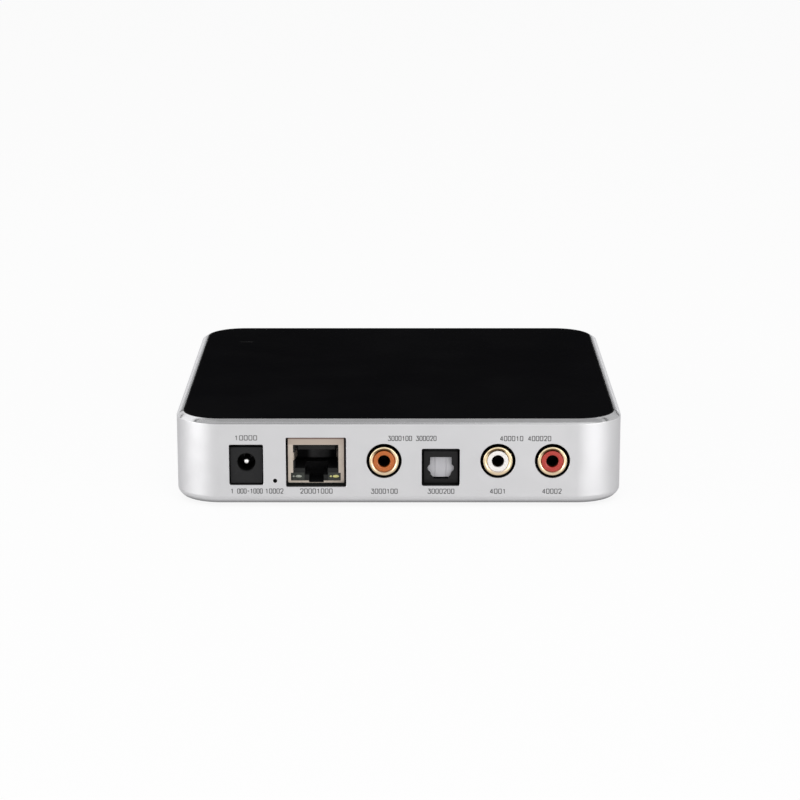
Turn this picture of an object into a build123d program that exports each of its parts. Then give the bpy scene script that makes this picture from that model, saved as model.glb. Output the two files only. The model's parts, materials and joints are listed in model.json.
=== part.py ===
from build123d import *
import math
import os

# Network music streamer: a low rounded-square aluminium case with a gloss black top,
# and a row of sockets in its connector wall.
# Millimetres. X runs along the connector wall, -Y points out of it, +Z is up.
# The origin lies on the resting surface under the middle of the case.

# Case
case_width = 125.0
case_depth = 125.0
case_height = 24.0
case_corner_radius = 13.0
case_wall = 2.0
case_bevel_run = 1.85
case_bevel_drop = 1.0
case_rim_land = 0.15
case_base_chamfer = 1.3
case_stand = 1.0
socket_wall = 1.2
socket_pocket_margin = 3.0
socket_pocket_radius = 1.5
ledge_width = 3.0
ledge_thickness = 1.5
boss_radius = 3.2
boss_inset = 7.0
boss_gap = 0.4
cut_overrun = 1.0
fit_gap = 0.03

# Top panel and the status light in it
panel_thickness = 2.0
panel_gap = 0.1
panel_edge_chamfer = 0.2
adhesive_thickness = 0.3
adhesive_margin = 0.4
light_inset_side = 14.5
light_inset_front = 22.5
light_length = 3.8
light_width = 1.3
light_slot_gap = 0.05
light_stem_shrink = 0.3
light_air_gap = 0.3
status_chip_length = 3.2
status_chip_width = 1.6
status_chip_height = 0.8
status_lens_height = 0.35
lens_length_share = 0.7
lens_width_share = 0.85

# Base plate, feet and screws
plate_thickness = 1.6
plate_gap = 0.15
plate_recess = 0.2
plate_rib_width = 1.4
plate_rib_height_share = 0.4
plate_rib_place_share = 0.2
plate_rib_length_share = 0.6
foot_radius = 4.5
foot_inset = 18.0
foot_socket_depth = 0.5
foot_socket_gap = 0.1
foot_edge_radius = 0.6
base_screw_radius = 1.25
base_screw_head_radius = 2.35
base_screw_head_height = 1.1
base_screw_length = 7.5
base_screw_hole_gap = 0.15
base_screw_thread_bite = 0.2
base_screw_hole_spare = 1.0
drive_radius = 0.9
drive_depth = 0.7

# Main board, between the base plate and the top panel
board_lift_share = 0.38182
board_thickness = 1.6
board_rear_setback = 2.6
board_side_gap = 3.0
board_front_gap = 6.0
board_corner_radius = 1.5
standoff_inset_x = 10.0
standoff_inset_front = 6.0
standoff_from_rear = 20.0
standoff_across_flats = 4.5
standoff_hole_gap = 0.1
board_screw_radius = 1.0
board_screw_head_radius = 1.9
board_screw_head_height = 1.3
board_screw_clearance = 0.15
screw_crown_share = 0.4

# Row of sockets from the left screw boss to the right one, with the gaps as parts of their sum
row_gap_shares = (5.5, 1.3, 1.245, 6.155, 5.95, 6.2, 5.35, 4.65)

# Power socket
power_cutout_side_gap = 0.275
power_cutout_top_gap = 0.85
power_cutout_sink = 0.05
power_cutout_radius = 0.45
power_front_setback = 0.8
power_width = 8.8
power_height = 10.6
power_flange_lift = 0.35
power_flange_depth = 3.6
power_rear_shoulder = 1.1
power_rear_shrink = 0.5
power_depth = 13.0
power_axis_above_board = 6.3
power_bore_radius = 2.5
power_bore_depth = 9.5
power_bore_lead_in = 0.25
power_pin_radius = 0.82
power_pin_setback = 0.9
power_pin_base_radius = 1.4
power_pin_base_length = 1.2
pin_tip_share = 0.55
power_leaf_width = 1.6
power_leaf_thickness = 0.3
power_leaf_setback = 2.5
power_leaf_gap = 0.02
leaf_rise_share = 0.93

# Reset switch
reset_hole_radius = 0.58
reset_above_board = 1.15
reset_setback = 3.6
reset_width = 4.6
reset_depth = 3.2
reset_height = 2.3
reset_button_width = 2.0
reset_button_height = 1.0
reset_button_proud = 0.7
reset_button_sunk = 1.3
reset_travel = 0.25
reset_side_gap = 0.3
button_chamfer_share = 0.2

# Ethernet socket
ethernet_cutout_side_gap = 0.5
ethernet_cutout_top_gap = 0.4
ethernet_cutout_sink = 0.75
ethernet_cutout_radius = 0.4
ethernet_setback = 2.3
ethernet_width = 15.75
ethernet_height = 13.1
ethernet_depth = 16.0
ethernet_sheet = 0.35
ethernet_mouth_width = 12.4
ethernet_mouth_top = 10.7
ethernet_plug_width = 11.9
ethernet_plug_floor = 4.1
ethernet_plug_depth = 12.4
ethernet_latch_step_width = 6.4
ethernet_latch_step_floor = 2.2
ethernet_latch_width = 4.1
ethernet_latch_floor = 0.3
ethernet_latch_depth = 8.0
ethernet_comb_setback = 2.4
ethernet_comb_drop = 1.5
ethernet_light_gap = 1.25
ethernet_light_side = 1.075
ethernet_light_base = 0.6
ethernet_light_top = 2.85
ethernet_light_depth = 11.0
ethernet_tab_base = 6.4
ethernet_tab_height = 2.2
ethernet_tab_length = 5.0
ethernet_tab_lean = 0.45
ethernet_tab_thickness = 0.25
ethernet_tab_room = 0.25
contact_count = 8
contact_pitch = 1.02
contact_thickness = 0.34
contact_slot_gap = 0.1
contact_drop = 0.65

# Phono sockets
phono_names = ("coaxial", "left", "right")
phono_axis_above_board = 6.8
phono_cutout_gap = 0.65
phono_barrel_radius = 4.15
phono_barrel_proud = 0.3
phono_barrel_outer_edge = 0.45
phono_barrel_inner_edge = 0.35
phono_sleeve_room = 8.0
phono_flange_radius = 4.6
phono_flange_thickness = 0.7
phono_block_width = 9.8
phono_block_depth = 8.0
phono_block_above_axis = 5.0
phono_block_edge = 0.8
phono_insert_radius = 2.95
phono_insert_recess = 0.4
phono_hole_radius = 1.78
phono_hole_lead_in = 0.2
phono_contact_inner_radius = 1.62
phono_contact_wall = 0.3
phono_contact_setback = 1.6
phono_contact_length = 6.2

# Optical socket
optical_cutout_side_gap = 0.575
optical_cutout_top_gap = 0.85
optical_cutout_sink = 0.35
optical_cutout_radius = 0.5
optical_setback = 1.0
optical_nose_width = 9.3
optical_nose_height = 9.0
optical_nose_lift = 0.4
optical_nose_depth = 1.0
optical_width = 9.7
optical_height = 10.4
optical_skin = 1.0
optical_side_wall = 0.75
optical_roof = 0.45
optical_floor = 1.0
optical_mouth_top = 7.9
optical_mouth_base = 1.2
optical_mouth_half_width = 3.0
optical_key_half_width = 3.58
optical_key_top = 5.9
optical_key_base = 4.7
optical_key_slope = 0.5
optical_mouth_foot_half_width = 2.0
optical_foot_top = 1.8
optical_foot_slope_top = 3.7
shutter_gap = 0.3
shutter_swing_gap = 0.35
shutter_thickness = 0.6
shutter_side_gap = 0.35
shutter_bottom = 1.7
shutter_axis_height = 9.2
shutter_knuckle_radius = 0.72
shutter_knuckle_inner = 1.35
shutter_panel_half_width = 1.6
shutter_panel_relief = 0.12
shutter_pin_radius = 0.4
shutter_running_gap = 0.05
shutter_pin_seat_gap = 0.02
shutter_pin_end_gap = 0.15
spring_wire_radius = 0.1
spring_mean_radius = 0.6
spring_turns = 4
spring_pitch = 0.42
spring_leg = 2.1
spring_leg_room = 0.15
quarters = 4
emitter_size = 6.4
emitter_depth = 4.0
emitter_lens_radius = 1.1
emitter_round_share = 0.5

# Parts on the board
can_wall = 0.25
processor_side = 14.0
processor_height = 1.2
processor_place_shares = (-0.06, 0.04)
shield_side = 24.0
shield_height = 3.4
shield_corner_radius = 1.0
shield_vent_radius = 0.8
shield_vent_pitch = 4.0
shield_vent_rows = 4
thermal_pad_side = 12.0
memory_width = 8.0
memory_length = 12.0
memory_height = 1.1
memory_place_shares = (0.16, 0.04)
flash_width = 6.0
flash_length = 8.0
flash_height = 1.0
flash_lead_count = 4
flash_place_shares = (-0.27, 0.12)
radio_width = 15.0
radio_length = 18.0
radio_carrier = 0.8
radio_can_height = 2.0
radio_margin = 0.8
radio_antenna_strip = 4.0
radio_place_shares = (0.3, 0.26)
converter_side = 7.0
converter_height = 1.0
converter_lead_count = 4
converter_place_shares = (0.27, -0.17)
driver_width = 5.0
driver_length = 4.0
driver_height = 1.4
driver_lead_count = 3
driver_place_shares = (0.38, -0.24)
transformer_width = 12.0
transformer_length = 9.0
transformer_height = 4.2
transformer_lead_count = 6
transformer_place_shares = (-0.2, -0.2)
lead_pitch = 1.27
lead_width = 0.4
lead_reach = 0.8
lead_height = 0.3
inductor_side = 6.0
inductor_height = 3.2
inductor_chamfer = 1.0
inductor_place_shares = ((-0.4, -0.14), (-0.4, -0.04))
capacitor_radius = 2.6
capacitor_height = 6.4
capacitor_base_side = 5.8
capacitor_base_height = 0.8
capacitor_base_chamfer = 1.0
capacitor_neck_radius = 2.35
capacitor_neck_height = 0.7
capacitor_place_shares = (
    (-0.3, -0.1),
    (0.02, -0.2),
    (0.09, -0.2),
    (0.16, -0.1),
    (0.3, -0.07),
    (0.38, -0.07),
)
crystal_length = 5.0
crystal_width = 3.2
crystal_height = 0.9
crystal_corner_radius = 0.5
crystal_to_converter = 1.25
processor_crystal_place_shares = (-0.06, 0.2)
antenna_length = 34.0
antenna_width = 7.0
antenna_thickness = 0.8
antenna_place_shares = (0.1, 0.39)
antenna_trace_width = 1.2
antenna_trace_height = 0.05
lead_tube_radius = 0.55
lead_drop = 6.5
lead_plug_radius = 1.3
lead_plug_height = 1.5
lead_bend_share = 0.45
lead_reach_share = 0.55

# Levels
case_bottom = case_stand
case_top = case_stand + case_height
panel_bottom = case_top - panel_thickness
ledge_top = panel_bottom - adhesive_thickness
ledge_bottom = ledge_top - ledge_thickness
plate_bottom = case_bottom + plate_recess
plate_top = plate_bottom + plate_thickness
board_room = panel_bottom - plate_top - board_thickness - ethernet_height
board_bottom = plate_top + board_lift_share * board_room
board_top = board_bottom + board_thickness

# Planes of the connector wall
wall_front = -case_depth / 2
case_front = case_depth / 2
board_rear = wall_front + board_rear_setback
board_front = case_front - board_front_gap
board_width = case_width - 2 * (case_wall + board_side_gap)
board_depth = board_front - board_rear
board_middle_y = (board_front + board_rear) / 2
pocket_inset = case_bevel_run + case_rim_land
phono_axis = board_top + phono_axis_above_board
phono_cutout_radius = phono_barrel_radius + phono_cutout_gap
phono_block_front = wall_front + phono_sleeve_room
optical_front = wall_front + optical_setback
optical_body_front = optical_front + optical_nose_depth
shutter_axis_y = optical_front + optical_skin + shutter_gap + shutter_knuckle_radius
shutter_axis_z = board_top + shutter_axis_height
shutter_sweep = math.hypot(shutter_axis_height - shutter_bottom, shutter_knuckle_radius) + shutter_swing_gap
emitter_front = shutter_axis_y + shutter_sweep
optical_back = emitter_front + emitter_depth
ethernet_front = wall_front + ethernet_setback
ethernet_light_inner = ethernet_latch_width / 2 + ethernet_light_gap
ethernet_light_outer = ethernet_width / 2 - ethernet_light_side
power_front = wall_front + power_front_setback
power_axis = board_top + power_axis_above_board
reset_axis = board_top + reset_above_board
reset_front = wall_front + reset_setback


def row_places():
    """Middle of each socket along the wall. The room that they leave goes into the gaps."""
    widths = {
        "power": power_width,
        "reset": reset_width,
        "ethernet": ethernet_width,
        "coaxial": phono_block_width,
        "optical": optical_width,
        "left": phono_block_width,
        "right": phono_block_width,
    }
    end = case_width / 2 - boss_inset - boss_radius
    gap_unit = (2 * end - sum(widths.values())) / sum(row_gap_shares)
    places = {}
    left = -end
    for (name, width), share in zip(widths.items(), row_gap_shares):
        left += share * gap_unit
        places[name] = left + width / 2
        left += width
    return places


# Middles of the sockets along the wall
socket_places = row_places()
power_x = socket_places["power"]
reset_x = socket_places["reset"]
ethernet_x = socket_places["ethernet"]
optical_x = socket_places["optical"]
phono_places = {name: socket_places[name] for name in phono_names}


def facing(y):
    """Plane at y that looks out of the connector wall, with X to its right and Z up it."""
    return Plane(origin=(0, y, 0), x_dir=(1, 0, 0), z_dir=(0, -1, 0))


def block(x_span, y_span, z_span):
    """Box between two places on each axis."""
    spans = (x_span, y_span, z_span)
    size = [abs(high - low) for low, high in spans]
    middle = [(high + low) / 2 for low, high in spans]
    return Pos(*middle) * Box(*size)


def brick(x, y, width, depth, bottom, top):
    """Box that stands about x and y between two heights."""
    return block((x - width / 2, x + width / 2), (y - depth / 2, y + depth / 2), (bottom, top))


def slab(width, depth, radius, bottom, top, x=0, y=0):
    """Flat rounded plate between two heights."""
    outline = Pos(x, y) * RectangleRounded(width, depth, radius)
    return extrude(Plane.XY.offset(bottom) * outline, top - bottom)


def bar(outline, front, back):
    """Outline drawn on the connector wall's plane, carried from front to back."""
    return extrude(facing(back) * outline, back - front)


def rod(radius, front, back, x, z):
    """Round bar that runs along Y."""
    return bar(Pos(x, z) * Circle(radius), front, back)


def post(radius, bottom, top, x, y):
    """Round bar that stands along Z."""
    return Pos(x, y, bottom) * Cylinder(radius, top - bottom, align=(Align.CENTER, Align.CENTER, Align.MIN))


def turned(points, x, z):
    """Body turned about an axis along Y through x and z, from (radius, y) points."""
    profile = make_face(Polyline(*[(radius, y, 0) for radius, y in points], close=True))
    return Pos(x, 0, z) * revolve(profile, Axis.Y)


def rounded_case(inset, bottom, top):
    """Plan of the case drawn in by an inset, between two heights."""
    return slab(
        case_width - 2 * inset, case_depth - 2 * inset, case_corner_radius - inset, bottom, top
    )


def case_flare(bottom_inset, top_inset, bottom, top):
    """Straight flank between two insets of the case's plan."""
    outlines = [
        Plane.XY.offset(height)
        * RectangleRounded(case_width - 2 * inset, case_depth - 2 * inset, case_corner_radius - inset)
        for inset, height in ((bottom_inset, bottom), (top_inset, top))
    ]
    return loft(outlines, ruled=True)


def corners(half_x, half_y):
    """The four corners of a rectangle about the middle of the case."""
    return [(x, y) for x in (-half_x, half_x) for y in (-half_y, half_y)]


def boss_places():
    return corners(case_width / 2 - boss_inset, case_depth / 2 - boss_inset)


def foot_places():
    return corners(case_width / 2 - foot_inset, case_depth / 2 - foot_inset)


def standoff_places():
    """Board screws: two near the connector wall and two near the opposite edge."""
    half_x = board_width / 2 - standoff_inset_x
    rows = (board_rear + standoff_from_rear, board_front - standoff_inset_front)
    return [(x, y) for x in (-half_x, half_x) for y in rows]


def board_place(shares):
    """Place on the board, given as shares of its width and depth from its middle."""
    across, along = shares
    return across * board_width, board_middle_y + along * board_depth


def light_place():
    return light_inset_side - case_width / 2, case_front - light_inset_front


def window(x, width, bottom, top, radius):
    """Outline of a rounded window between two heights."""
    return Pos(x, (bottom + top) / 2) * RectangleRounded(width, top - bottom, radius)


def power_window():
    """Cut-out round the power socket's flange."""
    width = power_width + 2 * power_cutout_side_gap
    bottom = board_top - power_cutout_sink
    top = board_top + power_height + power_cutout_top_gap
    return window(power_x, width, bottom, top, power_cutout_radius)


def ethernet_window():
    """Cut-out round the network socket's shell."""
    width = ethernet_width + 2 * ethernet_cutout_side_gap
    bottom = board_top - ethernet_cutout_sink
    return window(ethernet_x, width, bottom, ethernet_window_top(), ethernet_cutout_radius)


def ethernet_window_top():
    return board_top + ethernet_height + ethernet_cutout_top_gap


def optical_window():
    """Cut-out round the optical socket's nose."""
    width = optical_nose_width + 2 * optical_cutout_side_gap
    bottom = board_top - optical_cutout_sink
    top = board_top + optical_nose_lift + optical_nose_height + optical_cutout_top_gap
    return window(optical_x, width, bottom, top, optical_cutout_radius)


def socket_cutouts():
    """Everything that passes through the connector wall."""
    through = (wall_front - cut_overrun, wall_front + case_wall + cut_overrun)
    cuts = [bar(outline, *through) for outline in (power_window(), ethernet_window(), optical_window())]
    for x in phono_places.values():
        cuts.append(rod(phono_cutout_radius, *through, x, phono_axis))
    cuts.append(rod(reset_hole_radius, *through, reset_x, reset_axis))
    return cuts


def socket_pocket_span():
    """Both ends of the pocket behind the row of sockets."""
    left = power_x - power_width / 2 - power_cutout_side_gap - socket_pocket_margin
    return left, phono_places["right"] + phono_cutout_radius + socket_pocket_margin


def ledge_gap():
    """Space over the sockets, where the panel's ledge is left out."""
    inner = wall_front + pocket_inset
    return block(
        socket_pocket_span(),
        (inner, inner + ledge_width + cut_overrun),
        (ledge_bottom - cut_overrun, panel_bottom),
    )


def socket_pocket():
    """Milled pocket that thins the connector wall from inside, round all the sockets."""
    left, right = socket_pocket_span()
    bottom = plate_top
    top = ethernet_window_top() + socket_pocket_margin / 2
    outline = Pos((left + right) / 2, (bottom + top) / 2) * RectangleRounded(
        right - left, top - bottom, socket_pocket_radius
    )
    return bar(outline, wall_front + socket_wall, wall_front + case_wall + cut_overrun)


def enclosure_frame():
    """One-piece case: a ring with a bevelled rim, a ledge for the panel and four screw bosses."""
    shell = case_flare(case_base_chamfer, 0, case_bottom, case_bottom + case_base_chamfer)
    shell += rounded_case(0, case_bottom + case_base_chamfer, case_top - case_bevel_drop)
    shell += case_flare(0, case_bevel_run, case_top - case_bevel_drop, case_top)
    shell -= rounded_case(case_wall, case_bottom - cut_overrun, ledge_bottom)
    shell -= rounded_case(pocket_inset + ledge_width, ledge_bottom - cut_overrun, ledge_top + cut_overrun)
    shell -= rounded_case(pocket_inset, ledge_top, case_top + cut_overrun)
    shell -= ledge_gap()
    for x, y in boss_places():
        boss = post(boss_radius, plate_top, ledge_bottom, x, y)
        corner = block(
            (x, math.copysign(case_width / 2 - case_wall / 2, x)),
            (y, math.copysign(case_depth / 2 - case_wall / 2, y)),
            (plate_top, ledge_bottom),
        )
        shell += boss + (corner & rounded_case(case_wall / 2, plate_top, ledge_bottom))
    thread_radius = base_screw_radius - base_screw_thread_bite
    thread_top = plate_bottom + base_screw_length + base_screw_hole_spare
    for x, y in boss_places():
        shell -= post(thread_radius, plate_top - cut_overrun, thread_top, x, y)
    shell -= socket_pocket()
    for cut in socket_cutouts():
        shell -= cut
    return shell


def light_outline(gap=0):
    x, y = light_place()
    width = light_width + 2 * gap
    straight = light_length - light_width
    return Pos(x, y) * SlotCenterToCenter(straight, width)


def top_panel():
    """Gloss black panel with eased edges and a slot for the status light."""
    panel = rounded_case(pocket_inset + panel_gap, panel_bottom, case_top)
    rim = panel.faces().sort_by(Axis.Z)[-1].edges()
    panel = chamfer(rim, panel_edge_chamfer)
    slot = Plane.XY.offset(panel_bottom - cut_overrun) * light_outline(light_slot_gap)
    return panel - extrude(slot, panel_thickness + 2 * cut_overrun)


def panel_adhesive():
    """Foam adhesive between the ledge and the panel, open over the sockets like the ledge."""
    foam = rounded_case(pocket_inset + adhesive_margin, ledge_top, panel_bottom)
    foam -= rounded_case(
        pocket_inset + ledge_width - adhesive_margin, ledge_top - cut_overrun, panel_bottom + cut_overrun
    )
    return foam - ledge_gap()


def status_light_pipe():
    """Clear pipe from the status light up to the panel's surface."""
    foot = board_top + status_chip_height + light_air_gap
    head = extrude(Plane.XY.offset(panel_bottom) * light_outline(), panel_thickness)
    x, y = light_place()
    bottom = Plane.XY.offset(foot) * Pos(x, y) * SlotCenterToCenter(
        light_length - light_width - light_stem_shrink, light_width - light_stem_shrink
    )
    stem = extrude(bottom, panel_bottom - foot)
    return head + stem


def status_light():
    """Small surface-mounted lamp with a low lens."""
    x, y = light_place()
    carrier_top = board_top + status_chip_height - status_lens_height
    carrier = brick(x, y, status_chip_length, status_chip_width, board_top, carrier_top)
    lens = slab(
        status_chip_length * lens_length_share,
        status_chip_width * lens_width_share,
        status_lens_height / 2,
        carrier_top,
        board_top + status_chip_height,
        x,
        y,
    )
    return carrier + lens


def base_plate():
    """Bottom cover with countersunk screw holes, foot sockets and stiffening ribs."""
    inset = case_wall + plate_gap
    plate = rounded_case(inset, plate_bottom, plate_top)
    socket_top = plate_bottom + foot_socket_depth
    for x, y in foot_places():
        plate -= post(foot_radius + foot_socket_gap, plate_bottom - cut_overrun, socket_top, x, y)
    hole = base_screw_radius + base_screw_hole_gap
    head = base_screw_head_radius + base_screw_hole_gap
    for x, y in boss_places():
        plate -= post(hole, plate_bottom - cut_overrun, plate_top + cut_overrun, x, y)
        sink = Cone(head, hole, base_screw_head_height, align=(Align.CENTER, Align.CENTER, Align.MIN))
        plate -= Pos(x, y, plate_bottom) * sink
    rib_top = plate_top + plate_rib_height_share * (board_bottom - plate_top)
    for side in (-1, 1):
        y = side * case_depth * plate_rib_place_share
        length = case_width * plate_rib_length_share
        plate += brick(0, y, length, plate_rib_width, plate_top, rib_top)
    return plate


def foot(x, y):
    """Rubber foot glued into its socket, with an eased lower edge."""
    pad = post(foot_radius, 0, plate_bottom + foot_socket_depth, x, y)
    return fillet(pad.faces().sort_by(Axis.Z)[0].edges(), foot_edge_radius)


def hexagon_recess(bottom, top, x, y):
    key = Plane.XY.offset(bottom) * Pos(x, y) * RegularPolygon(drive_radius, 6)
    return extrude(key, top - bottom)


def base_screws():
    """Four countersunk screws that hold the base plate to the bosses."""
    screws = []
    for x, y in boss_places():
        shank = post(
            base_screw_radius - base_screw_thread_bite - fit_gap,
            plate_bottom,
            plate_bottom + base_screw_length,
            x,
            y,
        )
        head = Pos(x, y, plate_bottom) * Cone(
            base_screw_head_radius,
            base_screw_radius - base_screw_thread_bite,
            base_screw_head_height,
            align=(Align.CENTER, Align.CENTER, Align.MIN),
        )
        recess = hexagon_recess(plate_bottom - cut_overrun, plate_bottom + drive_depth, x, y)
        screws.append(shank + head - recess)
    return Compound(children=screws)


def board_standoffs():
    """Four hexagonal standoffs that stand on the base plate under the board."""
    pillars = []
    for x, y in standoff_places():
        outline = Plane.XY.offset(plate_top) * Pos(x, y) * RegularPolygon(
            standoff_across_flats / 2, 6, major_radius=False
        )
        hole = post(board_screw_radius + standoff_hole_gap, plate_top - cut_overrun, board_top, x, y)
        pillars.append(extrude(outline, board_bottom - plate_top) - hole)
    return Compound(children=pillars)


def main_board():
    """Circuit board, notched round the case's screw bosses."""
    board = slab(board_width, board_depth, board_corner_radius, board_bottom, board_top, 0, board_middle_y)
    notch = boss_radius + boss_gap
    for x, y in boss_places():
        board -= block(
            (x - math.copysign(notch, x), math.copysign(case_width / 2, x)),
            (y - math.copysign(notch, y), math.copysign(case_depth / 2, y)),
            (board_bottom - cut_overrun, board_top + cut_overrun),
        )
    hole = board_screw_radius + board_screw_clearance
    for x, y in standoff_places():
        board -= post(hole, board_bottom - cut_overrun, board_top + cut_overrun, x, y)
    return board


def board_screws():
    """Four pan-head screws that hold the board to the standoffs."""
    head_top = board_top + board_screw_head_height
    screws = []
    for x, y in standoff_places():
        shank = post(board_screw_radius, plate_top + standoff_hole_gap, board_top, x, y)
        head = post(board_screw_head_radius, board_top, head_top, x, y)
        head = fillet(head.faces().sort_by(Axis.Z)[-1].edges(), board_screw_head_height * screw_crown_share)
        recess = hexagon_recess(head_top - drive_depth, head_top + cut_overrun, x, y)
        screws.append(shank + head - recess)
    return Compound(children=screws)


def power_socket_body():
    """Moulded power socket: a front flange, a stepped rear housing and the plug's bore."""
    flange_back = power_front + power_flange_depth
    back = power_front + power_depth
    top = board_top + power_height
    half = power_width / 2
    flange = block(
        (power_x - half, power_x + half), (power_front, flange_back), (board_top + power_flange_lift, top)
    )
    rear_half = half - power_rear_shrink
    shoulder = power_axis + power_bore_radius + power_rear_shoulder - power_rear_shrink
    roof = Polyline(
        (power_x - rear_half, board_top),
        (power_x + rear_half, board_top),
        (power_x + rear_half, power_axis),
        (power_x + power_bore_radius, shoulder),
        (power_x - power_bore_radius, shoulder),
        (power_x - rear_half, power_axis),
        close=True,
    )
    body = flange + bar(make_face(roof), flange_back - cut_overrun, back)
    body -= turned(
        (
            (0, power_front - cut_overrun),
            (power_bore_radius + power_bore_lead_in, power_front - cut_overrun),
            (power_bore_radius + power_bore_lead_in, power_front),
            (power_bore_radius, power_front + power_bore_lead_in),
            (power_bore_radius, power_front + power_bore_depth),
            (0, power_front + power_bore_depth),
        ),
        power_x,
        power_axis,
    )
    body -= power_leaf_slot(power_leaf_gap)
    seat = power_pin_base_radius + fit_gap
    seat_front = power_front + power_bore_depth - cut_overrun
    return body - rod(seat, seat_front, back + cut_overrun, power_x, power_axis)


def power_leaf_slot(gap):
    """Spring leaf's place in the floor of the bore, with a gap round it."""
    half = power_leaf_width / 2 + gap
    floor = power_axis - power_bore_radius - power_leaf_thickness
    front = power_front + power_leaf_setback
    return block(
        (power_x - half, power_x + half),
        (front - gap, power_front + power_bore_depth + gap),
        (floor - gap, power_axis - power_bore_radius * leaf_rise_share),
    )


def power_socket_pin():
    """Centre pin with a rounded tip and a pressed-in root."""
    tip = power_front + power_pin_setback
    root = power_front + power_bore_depth
    back = power_front + power_depth
    radius = power_pin_radius
    base = power_pin_base_radius
    pin = turned(
        (
            (0, tip),
            (radius * pin_tip_share, tip),
            (radius, tip + radius),
            (radius, root - power_pin_base_length),
            (base, root - power_pin_base_length),
            (base, back),
            (0, back),
        ),
        power_x,
        power_axis,
    )
    return pin


def power_socket_leaf():
    """Flat outer contact along the floor of the bore."""
    half = power_leaf_width / 2
    floor = power_axis - power_bore_radius - power_leaf_thickness
    front = power_front + power_leaf_setback
    back = power_front + power_bore_depth
    strip = block((power_x - half, power_x + half), (front, back), (floor, floor + power_leaf_thickness))
    return strip


def reset_switch():
    """Low side-pressed switch with a slot for its button."""
    middle_y = reset_front + reset_depth / 2
    body = brick(reset_x, middle_y, reset_width, reset_depth, board_top, board_top + reset_height)
    half_slot = reset_button_width / 2 + reset_side_gap
    rise = reset_button_height / 2 + reset_side_gap
    slot_back = reset_front + reset_button_sunk + reset_travel + reset_side_gap
    return body - block(
        (reset_x - half_slot, reset_x + half_slot),
        (reset_front - cut_overrun, slot_back),
        (reset_axis - rise, reset_axis + rise),
    )


def reset_button():
    """Button that the pin pushes through the wall."""
    half = reset_button_width / 2
    rise = reset_button_height / 2
    body = block(
        (reset_x - half, reset_x + half),
        (reset_front - reset_button_proud, reset_front + reset_button_sunk),
        (reset_axis - rise, reset_axis + rise),
    )
    front = body.faces().sort_by(Axis.Y)[0].edges()
    return chamfer(front, reset_button_height * button_chamfer_share)


def ethernet_mouth(grow=0):
    """Front opening of the metal shell: plug, light windows and latch."""
    half = ethernet_mouth_width / 2 + grow
    outer = ethernet_light_outer + grow
    latch = ethernet_latch_width / 2 + grow
    points = (
        (half, ethernet_mouth_top),
        (half, ethernet_light_top),
        (outer, ethernet_light_top),
        (outer, ethernet_light_base),
        (latch, ethernet_light_base),
        (latch, ethernet_latch_floor),
    )
    outline = [(ethernet_x + x, board_top + z) for x, z in points]
    mirrored = [(ethernet_x - x, board_top + z) for x, z in reversed(points)]
    return make_face(Polyline(*outline, *mirrored, close=True))


def ethernet_tab(side, gap=0):
    """Springy side finger, bent in from the mouth's edge towards the plug."""
    mouth = ethernet_mouth_width / 2
    front = ethernet_front
    back = ethernet_front + ethernet_tab_length
    outline = Polyline(
        (mouth + ethernet_tab_thickness + gap, front - gap),
        (mouth - gap, front - gap),
        (mouth - ethernet_tab_thickness - ethernet_tab_lean - gap, back + gap),
        (mouth - ethernet_tab_lean + gap, back + gap),
        close=True,
    )
    bottom = board_top + ethernet_tab_base - gap
    finger = extrude(Plane.XY.offset(bottom) * make_face(outline), ethernet_tab_height + 2 * gap)
    if side < 0:
        finger = mirror(finger, about=Plane.YZ)
    return Pos(ethernet_x, 0, 0) * finger


def ethernet_shield():
    """Pressed metal shell with a shaped mouth and two side fingers."""
    half = ethernet_width / 2
    back = ethernet_front + ethernet_depth
    top = board_top + ethernet_height
    shell = block((ethernet_x - half, ethernet_x + half), (ethernet_front, back), (board_top, top))
    shell = fillet(shell.edges().filter_by(Axis.Y), ethernet_sheet)
    sheet = ethernet_sheet
    shell -= block(
        (ethernet_x - half + sheet, ethernet_x + half - sheet),
        (ethernet_front + sheet, back - sheet),
        (board_top - cut_overrun, top - sheet),
    )
    shell -= bar(ethernet_mouth(), ethernet_front - cut_overrun, ethernet_front + sheet)
    for side in (-1, 1):
        shell += ethernet_tab(side)
    return shell


def ethernet_plug_space():
    """Space for the plug, its latch and the fingers, as cuts in the moulding."""
    front = ethernet_front - cut_overrun
    half = ethernet_plug_width / 2
    step = ethernet_latch_step_width / 2
    latch = ethernet_latch_width / 2
    plug_back = ethernet_front + ethernet_plug_depth
    latch_back = ethernet_front + ethernet_latch_depth
    mouth_top = board_top + ethernet_mouth_top
    floor = board_top + ethernet_plug_floor
    comb_front = ethernet_front + ethernet_comb_setback
    comb_base = mouth_top - ethernet_comb_drop
    step_floor = board_top + ethernet_latch_step_floor
    latch_floor = board_top + ethernet_latch_floor
    cuts = [
        block((ethernet_x - half, ethernet_x + half), (front, comb_front), (floor, mouth_top)),
        block((ethernet_x - half, ethernet_x + half), (front, plug_back), (floor, comb_base)),
        block((ethernet_x - step, ethernet_x + step), (front, latch_back), (step_floor, comb_base)),
        block((ethernet_x - latch, ethernet_x + latch), (front, latch_back), (latch_floor, comb_base)),
    ]
    slot_half = contact_thickness / 2 + contact_slot_gap
    for x in contact_places():
        cuts.append(block((x - slot_half, x + slot_half), (comb_front, plug_back), (floor, mouth_top)))
    room = ethernet_tab_room
    tab_back = ethernet_front + ethernet_tab_length + room
    tab_bottom = board_top + ethernet_tab_base - room
    tab_top = board_top + ethernet_tab_base + ethernet_tab_height + room
    for side in (-1, 1):
        inner = ethernet_x + side * (half - cut_overrun)
        outer = ethernet_x + side * (ethernet_mouth_width / 2 + ethernet_tab_thickness + fit_gap)
        cuts.append(block((inner, outer), (front, tab_back), (tab_bottom, tab_top)))
    return cuts


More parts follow.
